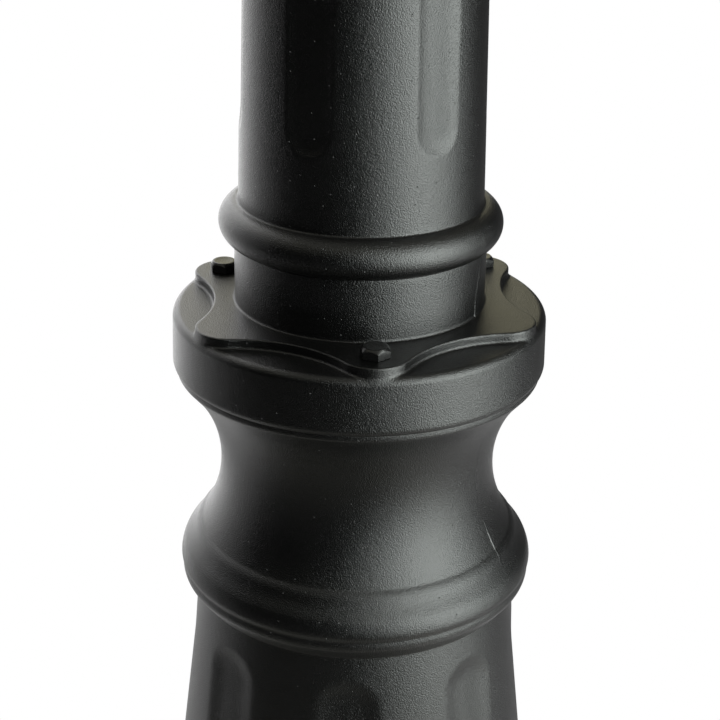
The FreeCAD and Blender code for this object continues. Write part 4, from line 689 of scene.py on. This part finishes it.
def make_pole():
    outside = soft_outline([
        # spigot, hidden in the flange
        (38.0, 551.9), (42.0, 551.9), (42.0, NECK_HEIGHT),
        # bead
        (47.5, NECK_HEIGHT, 6.9, 0.5, 0.4),
        # fluted shaft
        (*SHAFT_FOOT, 0, 0.8, 1.5), (*on_taper(SHAFT_FOOT, SHAFT_HEAD, 617.0), 0, 0.0, 0.7),
        (*on_taper(SHAFT_FOOT, SHAFT_HEAD, 638.0), 0, 0.0, 12.0),
        (*on_taper(SHAFT_FOOT, SHAFT_HEAD, 1466.0), 0, 0.0, 0.8),
        (*on_taper(SHAFT_FOOT, SHAFT_HEAD, 1494.0), 0, 0.0, 8.0), (*SHAFT_HEAD, 0, 0.8, 1.0),
        # collar and the spigot for the lantern
        (29.0, 1539.9, 4.0, 0.6, 0.6), (29.0, 1549.9, 0, 0.6, 1.0), (22.0, 1549.9, 0, 0.4, 8.0),
        (22.0, 1589.9, 0, 0.5, 1.0), (18.0, 1589.9),
    ], softness=0.4, step=1.5)
    bore = [(18.0, 1529.9), (38.0, 595.1)]
    bearings = bearings_round(step=1.0, fine_from=-44.0, fine_to=-33.0, fine_step=0.25)
    rows = [(pole_radius(radius, height, bearings), height) for radius, height in outside]
    closed_skin("pole_casting", rows + bore, bearings, "pole")


# The coupling flange: its drum, its pad of six lobes and its neck

LOBE_PITCH = 60.0
LOBE_RADIUS = 13.0
LOBE_CENTRE = (58.0, 0.0)
HOLLOW_RADIUS = 48.79
HOLLOW_CENTRE = (90.75, 52.39)
DRUM_RADIUS = 72.4
DRUM_FOOT = 531.5
DRUM_HEIGHT = 20.8
DRUM_TOP = 552.3
DRUM_DRAFT = 0.5
DRUM_ROUNDING = 3.0
FOOT_RADIUS = 71.2
FOOT_SLOPE = 0.8
FOOT_SLANT = 1.28
FOOT_BLEND = 0.6
PAD_UNDERSIDE = 548.3
PAD_ROUNDING = 0.6
PAD_BLEND = 1.2
NECK_BLEND = 1.0
NECK_FOOT = 561.0
SOCKET_RADIUS = 42.3
# the outside skin is found along rays that fan out from a core, in degrees above level
SKIN_CORE = (44.0, 540.0)
SKIN_REACH = 60.0
SKIN_HALVINGS = 26
SKIN_FANS = ((-19.4, 15.0, 1.3), (15.0, 57.0, 0.45), (57.0, 78.7, 0.8))
# the raised line where the halves of the mould met, up the neck
MOULD_RIDGE_FROM = 556.0
MOULD_RIDGE_BEARING = -31.8
MOULD_RIDGE_LEAN = 0.29
MOULD_RIDGE_CURVE = 1.05
MOULD_RIDGE_WIDTH = 0.42
MOULD_RIDGE_RISE = 0.32
MOULD_RIDGE_GAP = 0.2


def corner_distance(across, up, rounding):
    """How far outside two faces that meet in a rounded edge a point is, from both distances."""
    over = np.hypot(np.maximum(across + rounding, 0.0), np.maximum(up + rounding, 0.0))
    return over + np.minimum(np.maximum(across, up) + rounding, 0.0) - rounding


def lobed_distance(radius, bearings):
    """How far outside the pad's lobes and hollows a point lies, seen from above."""
    half = LOBE_PITCH / 2
    off = np.abs((bearings - BOLT_BEARINGS[0] + half) % LOBE_PITCH - half)
    across = radius * np.cos(np.radians(off))
    aside = radius * np.sin(np.radians(off))
    lobe = np.hypot(across - LOBE_CENTRE[0], aside - LOBE_CENTRE[1]) - LOBE_RADIUS
    hollow = HOLLOW_RADIUS - np.hypot(across - HOLLOW_CENTRE[0], aside - HOLLOW_CENTRE[1])
    run = (HOLLOW_CENTRE[0] - LOBE_CENTRE[0], HOLLOW_CENTRE[1] - LOBE_CENTRE[1])
    side = run[0] * (aside - LOBE_CENTRE[1]) - run[1] * (across - LOBE_CENTRE[0])
    return np.where(side > 0.0, hollow, lobe)


def flange_distance(radius, height, bearings):
    """How far outside the drum, pad and neck a point lies, with the fillets between them."""
    wall = radius - DRUM_RADIUS + DRUM_DRAFT * (height - DRUM_FOOT) / DRUM_HEIGHT
    drum = corner_distance(wall, height - DRUM_TOP, DRUM_ROUNDING)
    foot = (radius - FOOT_RADIUS - FOOT_SLOPE * (height - SEAM_HEIGHT)) / FOOT_SLANT
    drum = -lower_of(-drum, -foot, FOOT_BLEND)
    pad = corner_distance(lobed_distance(radius, bearings), height - PAD_HEIGHT, PAD_ROUNDING)
    pad = np.maximum(pad, PAD_UNDERSIDE - height)
    return lower_of(lower_of(drum, pad, PAD_BLEND), radius - NECK_RADIUS, NECK_BLEND)


def flange_skin(bearings):
    """Rings of (radius, height) on the flange's outside, found by halving along rays."""
    rays = np.radians(np.concatenate([np.arange(*fan) for fan in SKIN_FANS]))[:, None]
    near = np.zeros((len(rays), len(bearings)))
    far = np.full_like(near, SKIN_REACH)
    for halving in range(SKIN_HALVINGS):
        middle = (near + far) / 2
        radius = SKIN_CORE[0] + middle * np.cos(rays)
        height = SKIN_CORE[1] + middle * np.sin(rays)
        outside = flange_distance(radius, height, bearings) > 0.0
        far = np.where(outside, middle, far)
        near = np.where(outside, near, middle)
    reach = (near + far) / 2
    return [(SKIN_CORE[0] + reach[row] * math.cos(ray), SKIN_CORE[1] + reach[row] * math.sin(ray))
            for row, ray in enumerate(rays[:, 0])]


def with_mould_ridge(radius, height, bearings):
    """The neck's radius with the ridge where the halves of the mould met."""
    level = np.mean(height)
    if level <= MOULD_RIDGE_FROM:
        return radius
    fade = np.clip(NECK_HEIGHT - MOULD_RIDGE_GAP - height, 0.0, 1.0)
    fade = fade * (np.asarray(radius) > JOINT_SKIN_FROM)
    climb = max(0.0, level - NECK_FOOT) ** MOULD_RIDGE_CURVE
    bearing = MOULD_RIDGE_BEARING + MOULD_RIDGE_LEAN * climb
    rise = ridge(bearings, NECK_RADIUS, bearing, MOULD_RIDGE_WIDTH, MOULD_RIDGE_RISE)
    return radius + rise * fade


def make_coupling_flange():
    bearings = bearings_round(step=0.6, fine_from=-36.0, fine_to=-25.0, fine_step=0.2)
    neck = soft_outline([
        (NECK_RADIUS, NECK_FOOT, 0, 0, 2.0), (NECK_RADIUS, NECK_HEIGHT),
        (SOCKET_RADIUS, NECK_HEIGHT),
    ], softness=0.5, step=2.0)
    rows = [(36.0, 522.0), (43.7, 522.0), (43.7, SEAM_HEIGHT), (FOOT_RADIUS, SEAM_HEIGHT)]
    rows += [(with_mould_ridge(radius, height, bearings), height)
             for radius, height in flange_skin(bearings) + neck]
    rows += [(SOCKET_RADIUS, 549.9), (36.0, 549.9)]
    holes = holes_round_the_post(BOLT_CIRCLE, BOLT_BEARINGS, height=540.0, radius=3.3,
                                 length=50.0)
    set_screw_hole = ((0.0, 45.0, 567.9), (0, 1, 0), 3.1, 12.0)
    holes.append(set_screw_hole)
    closed_skin("coupling_casting", rows, bearings, "coupling_flange", holes)


# The studio, in metres and degrees: a pale floor, a white surround, one tall soft light, and
# bright and dark cards that only shiny surfaces see

FLOOR_REACH = 40.0
FLOOR_LEVEL = 0.82
FLOOR_CLEAR_FROM = 0.24
FLOOR_CLEAR_TO = 0.42
FLOOR_WHITENESS = 0.5
FILL_LEVEL = 0.4
BACKDROP = (0.98, 0.93, 0.66, 1.0)
CEILING = (0.4, 0.4, 0.36, 1.0)
CEILING_FROM = 0.55
CEILING_TO = 0.85
KEY_TINT = (0.94, 1.0, 0.96)
KEY_BEARING = -39.0
KEY_DISTANCE = 1.3
KEY_LEVEL = 1.6
KEY_WIDTH = 1.1
KEY_FOOT = 0.05
KEY_HEAD = 2.3
KEY_BEARINGS = (-69.0, -12.5)
FRONT_BEARINGS = (160.0, 291.0)
RIM_BEARINGS = (96.0, 130.0)
RIM_EDGE_BEARINGS = (130.0, 160.0)
SIDE_BEARINGS = (-12.5, 70.0)
CARD_STEPS = 16
CARD_SHADE_FROM = 0.1
CARD_SHADE_TO = 0.75
CARD_DISTANCE = 0.9
NEAR_GROUND = 0.45
CLOSEST_GROUND = 0.16
GROUND_HEIGHT = 0.01
FOOT_LAG = 14.0
# card profiles of (distance, height, lag)
CARD_WALL = (
    (CARD_DISTANCE, 0.05, FOOT_LAG), (CARD_DISTANCE, 0.38, 1.0), (CARD_DISTANCE, 0.5, 0.0),
    (CARD_DISTANCE, 1.4, 0.0),
)
CARD_GROUND = ((NEAR_GROUND, GROUND_HEIGHT, FOOT_LAG), (CARD_DISTANCE, GROUND_HEIGHT, FOOT_LAG))
CARD_NEAR_GROUND = (
    (CLOSEST_GROUND, GROUND_HEIGHT, FOOT_LAG), (NEAR_GROUND, GROUND_HEIGHT, FOOT_LAG),
)
# which end of a card lags
FIRST_END = (1, 0)
LAST_END = (0, 1)


def make_floor():
    """A white floor that takes the post's soft shadow and clears to plain white further out."""
    paper = Finish("pale_floor")
    distance = paper.node("VectorMath", {"operation": "LENGTH"}, {0: paper.place}, "Value")
    away = distance.rise(FLOOR_CLEAR_FROM, FLOOR_CLEAR_TO)
    cloth = paper.node("BsdfDiffuse", {}, {"Color": grey(FLOOR_LEVEL)})
    glow = paper.node("Emission", {}, {"Color": grey(1.0), "Strength": 1.0})
    camera, shiny, clear = paper.rays()
    seen = camera.larger(shiny).larger(clear)
    white = seen * (FLOOR_WHITENESS + (1 - FLOOR_WHITENESS) * away)
    paper.out(paper.node("MixShader", {}, {"Fac": white, 1: cloth, 2: glow}))
    signs = ((-1, -1), (1, -1), (1, 1), (-1, 1))
    corners = [(across * FLOOR_REACH, aside * FLOOR_REACH, 0.0) for across, aside in signs]
    floor = mesh_object("floor", corners, [(0, 1, 2, 3)], paper.material)


def make_world():
    """White behind everything, dimmer overhead in reflections, and a plain soft fill."""
    world = bpy.data.worlds.new("studio")
    bpy.context.scene.world = world
    world.use_nodes = True
    studio = Finish("studio", world.node_tree)
    up = studio.node("TexCoord", {}, {}, "Generated").part("Z")
    camera, shiny, clear = studio.rays()
    paper = studio.blend(up.rise(CEILING_FROM, CEILING_TO), BACKDROP, CEILING)
    reflected = studio.node("Background", {}, {"Color": paper, "Strength": 1.0})
    white = studio.node("Background", {}, {"Color": grey(1.0), "Strength": 1.0})
    fill = studio.node("Background", {}, {"Color": grey(1.0), "Strength": FILL_LEVEL})
    seen = studio.node("MixShader", {}, {"Fac": camera.larger(clear), 1: fill, 2: white})
    seen = studio.node("MixShader", {}, {"Fac": shiny * (1 - clear), 1: seen, 2: reflected})
    studio.node("OutputWorld", {"target": "ALL"}, {"Surface": seen})


def soft_light():
    """An upright soft box that faces the post; what shows of it in the paint is the key card."""
    lamp = bpy.data.lights.new("key_light", "AREA")
    lamp.shape = "RECTANGLE"
    lamp.size = KEY_WIDTH
    lamp.size_y = KEY_HEAD - KEY_FOOT
    lamp.energy = KEY_LEVEL * math.pi * KEY_WIDTH * (KEY_HEAD - KEY_FOOT)
    lamp.color = KEY_TINT
    box = bpy.data.objects.new("key_light", lamp)
    bpy.context.scene.collection.objects.link(box)
    angle = math.radians(KEY_BEARING)
    middle = (KEY_FOOT + KEY_HEAD) / 2
    box.location = (KEY_DISTANCE * math.cos(angle), KEY_DISTANCE * math.sin(angle), middle)
    towards = Vector((-math.cos(angle), -math.sin(angle), 0.0))
    box.rotation_euler = towards.to_track_quat("-Z", "Y").to_euler()
    box.visible_glossy = False


def card(name, bearings, profile, colour, strength=1.0, lagging=(0, 0), foot_share=0.72):
    """A glowing card swept round the post along a profile of (distance, height, lag).

    Only shiny surfaces see it. The ends marked in lagging are turned by the profile's lag, and
    its foot has a share of its colour."""
    board = Finish(name)
    at_foot = tuple(foot_share * share for share in colour[:3]) + (1.0,)
    level = board.place.part("Z").rise(CARD_SHADE_FROM, CARD_SHADE_TO)
    shade = board.blend(level, at_foot, colour)
    board.out(board.node("Emission", {}, {"Color": shade, "Strength": strength}))
    points = []
    for step in range(CARD_STEPS + 1):
        for distance, height, lag in profile:
            first = bearings[0] + lag * lagging[0]
            last = bearings[1] + lag * lagging[1]
            angle = math.radians(first + (last - first) * step / CARD_STEPS)
            points.append((distance * math.cos(angle), distance * math.sin(angle), height))
    row = len(profile)
    faces = []
    for step in range(CARD_STEPS):
        for place in range(row - 1):
            corner = step * row + place
            faces.append((corner, corner + row, corner + row + 1, corner + 1))
    made = mesh_object(name, points, faces, board.material)
    made.visible_camera = False
    made.visible_diffuse = False
    made.visible_shadow = False
    made.visible_transmission = False


def make_lights():
    soft_light()
    warm = (1.0, 1.0, 0.92, 1.0)
    card("key_card", KEY_BEARINGS, CARD_WALL, (*KEY_TINT, 1.0), 7.6, FIRST_END)
    card("key_ground_card", KEY_BEARINGS, CARD_GROUND, warm, 1.4, FIRST_END)
    card("key_near_ground_card", KEY_BEARINGS, CARD_NEAR_GROUND, warm, 1.4, FIRST_END)
    card("front_card", FRONT_BEARINGS, CARD_WALL, grey(0.012), lagging=LAST_END)
    card("front_ground_card", FRONT_BEARINGS, CARD_GROUND, (0.04, 0.04, 0.036, 1.0),
         lagging=LAST_END)
    card("front_near_ground_card", FRONT_BEARINGS, CARD_NEAR_GROUND, (0.42, 0.42, 0.37, 1.0),
         lagging=LAST_END)
    card("rim_card", RIM_BEARINGS, CARD_WALL, grey(1.0), 2.6)
    card("rim_edge_card", RIM_EDGE_BEARINGS, CARD_WALL, grey(1.0), 1.2)
    card("rim_ground_card", (RIM_BEARINGS[0], RIM_EDGE_BEARINGS[1]), CARD_GROUND, grey(0.9))
    card("side_card", SIDE_BEARINGS, CARD_WALL, grey(0.05), foot_share=3.0)
    card("side_ground_card", SIDE_BEARINGS, CARD_GROUND, grey(0.5))


# The camera stands where the photograph was taken

CAMERA_PLACE = (-0.0562, -0.5728, 0.7812)
CAMERA_TARGET = (0.0, 0.0, 0.5283)
CAMERA_ROLL = 0.95
CAMERA_LENS = 80.0
CAMERA_SENSOR = 36.0
CAMERA_SHIFT = 0.002
CAMERA_NEAR = 0.01
CAMERA_FAR = 200.0


def make_camera():
    lens = bpy.data.cameras.new("camera")
    lens.lens = CAMERA_LENS
    lens.sensor_width = CAMERA_SENSOR
    lens.sensor_fit = "HORIZONTAL"
    lens.shift_x = CAMERA_SHIFT
    lens.clip_start = CAMERA_NEAR
    lens.clip_end = CAMERA_FAR
    camera = bpy.data.objects.new("camera", lens)
    bpy.context.scene.collection.objects.link(camera)
    camera.location = CAMERA_PLACE
    towards = Vector(CAMERA_TARGET) - Vector(CAMERA_PLACE)
    roll = Quaternion((0.0, 0.0, 1.0), math.radians(CAMERA_ROLL))
    camera.rotation_euler = (towards.to_track_quat("-Z", "Y") @ roll).to_euler()
    bpy.context.scene.camera = camera


finish_the_parts()
make_pedestal()
make_pole()
make_coupling_flange()
make_bolts()
make_floor()
make_world()
make_lights()
make_camera()
bpy.context.scene.view_settings.view_transform = "Standard"
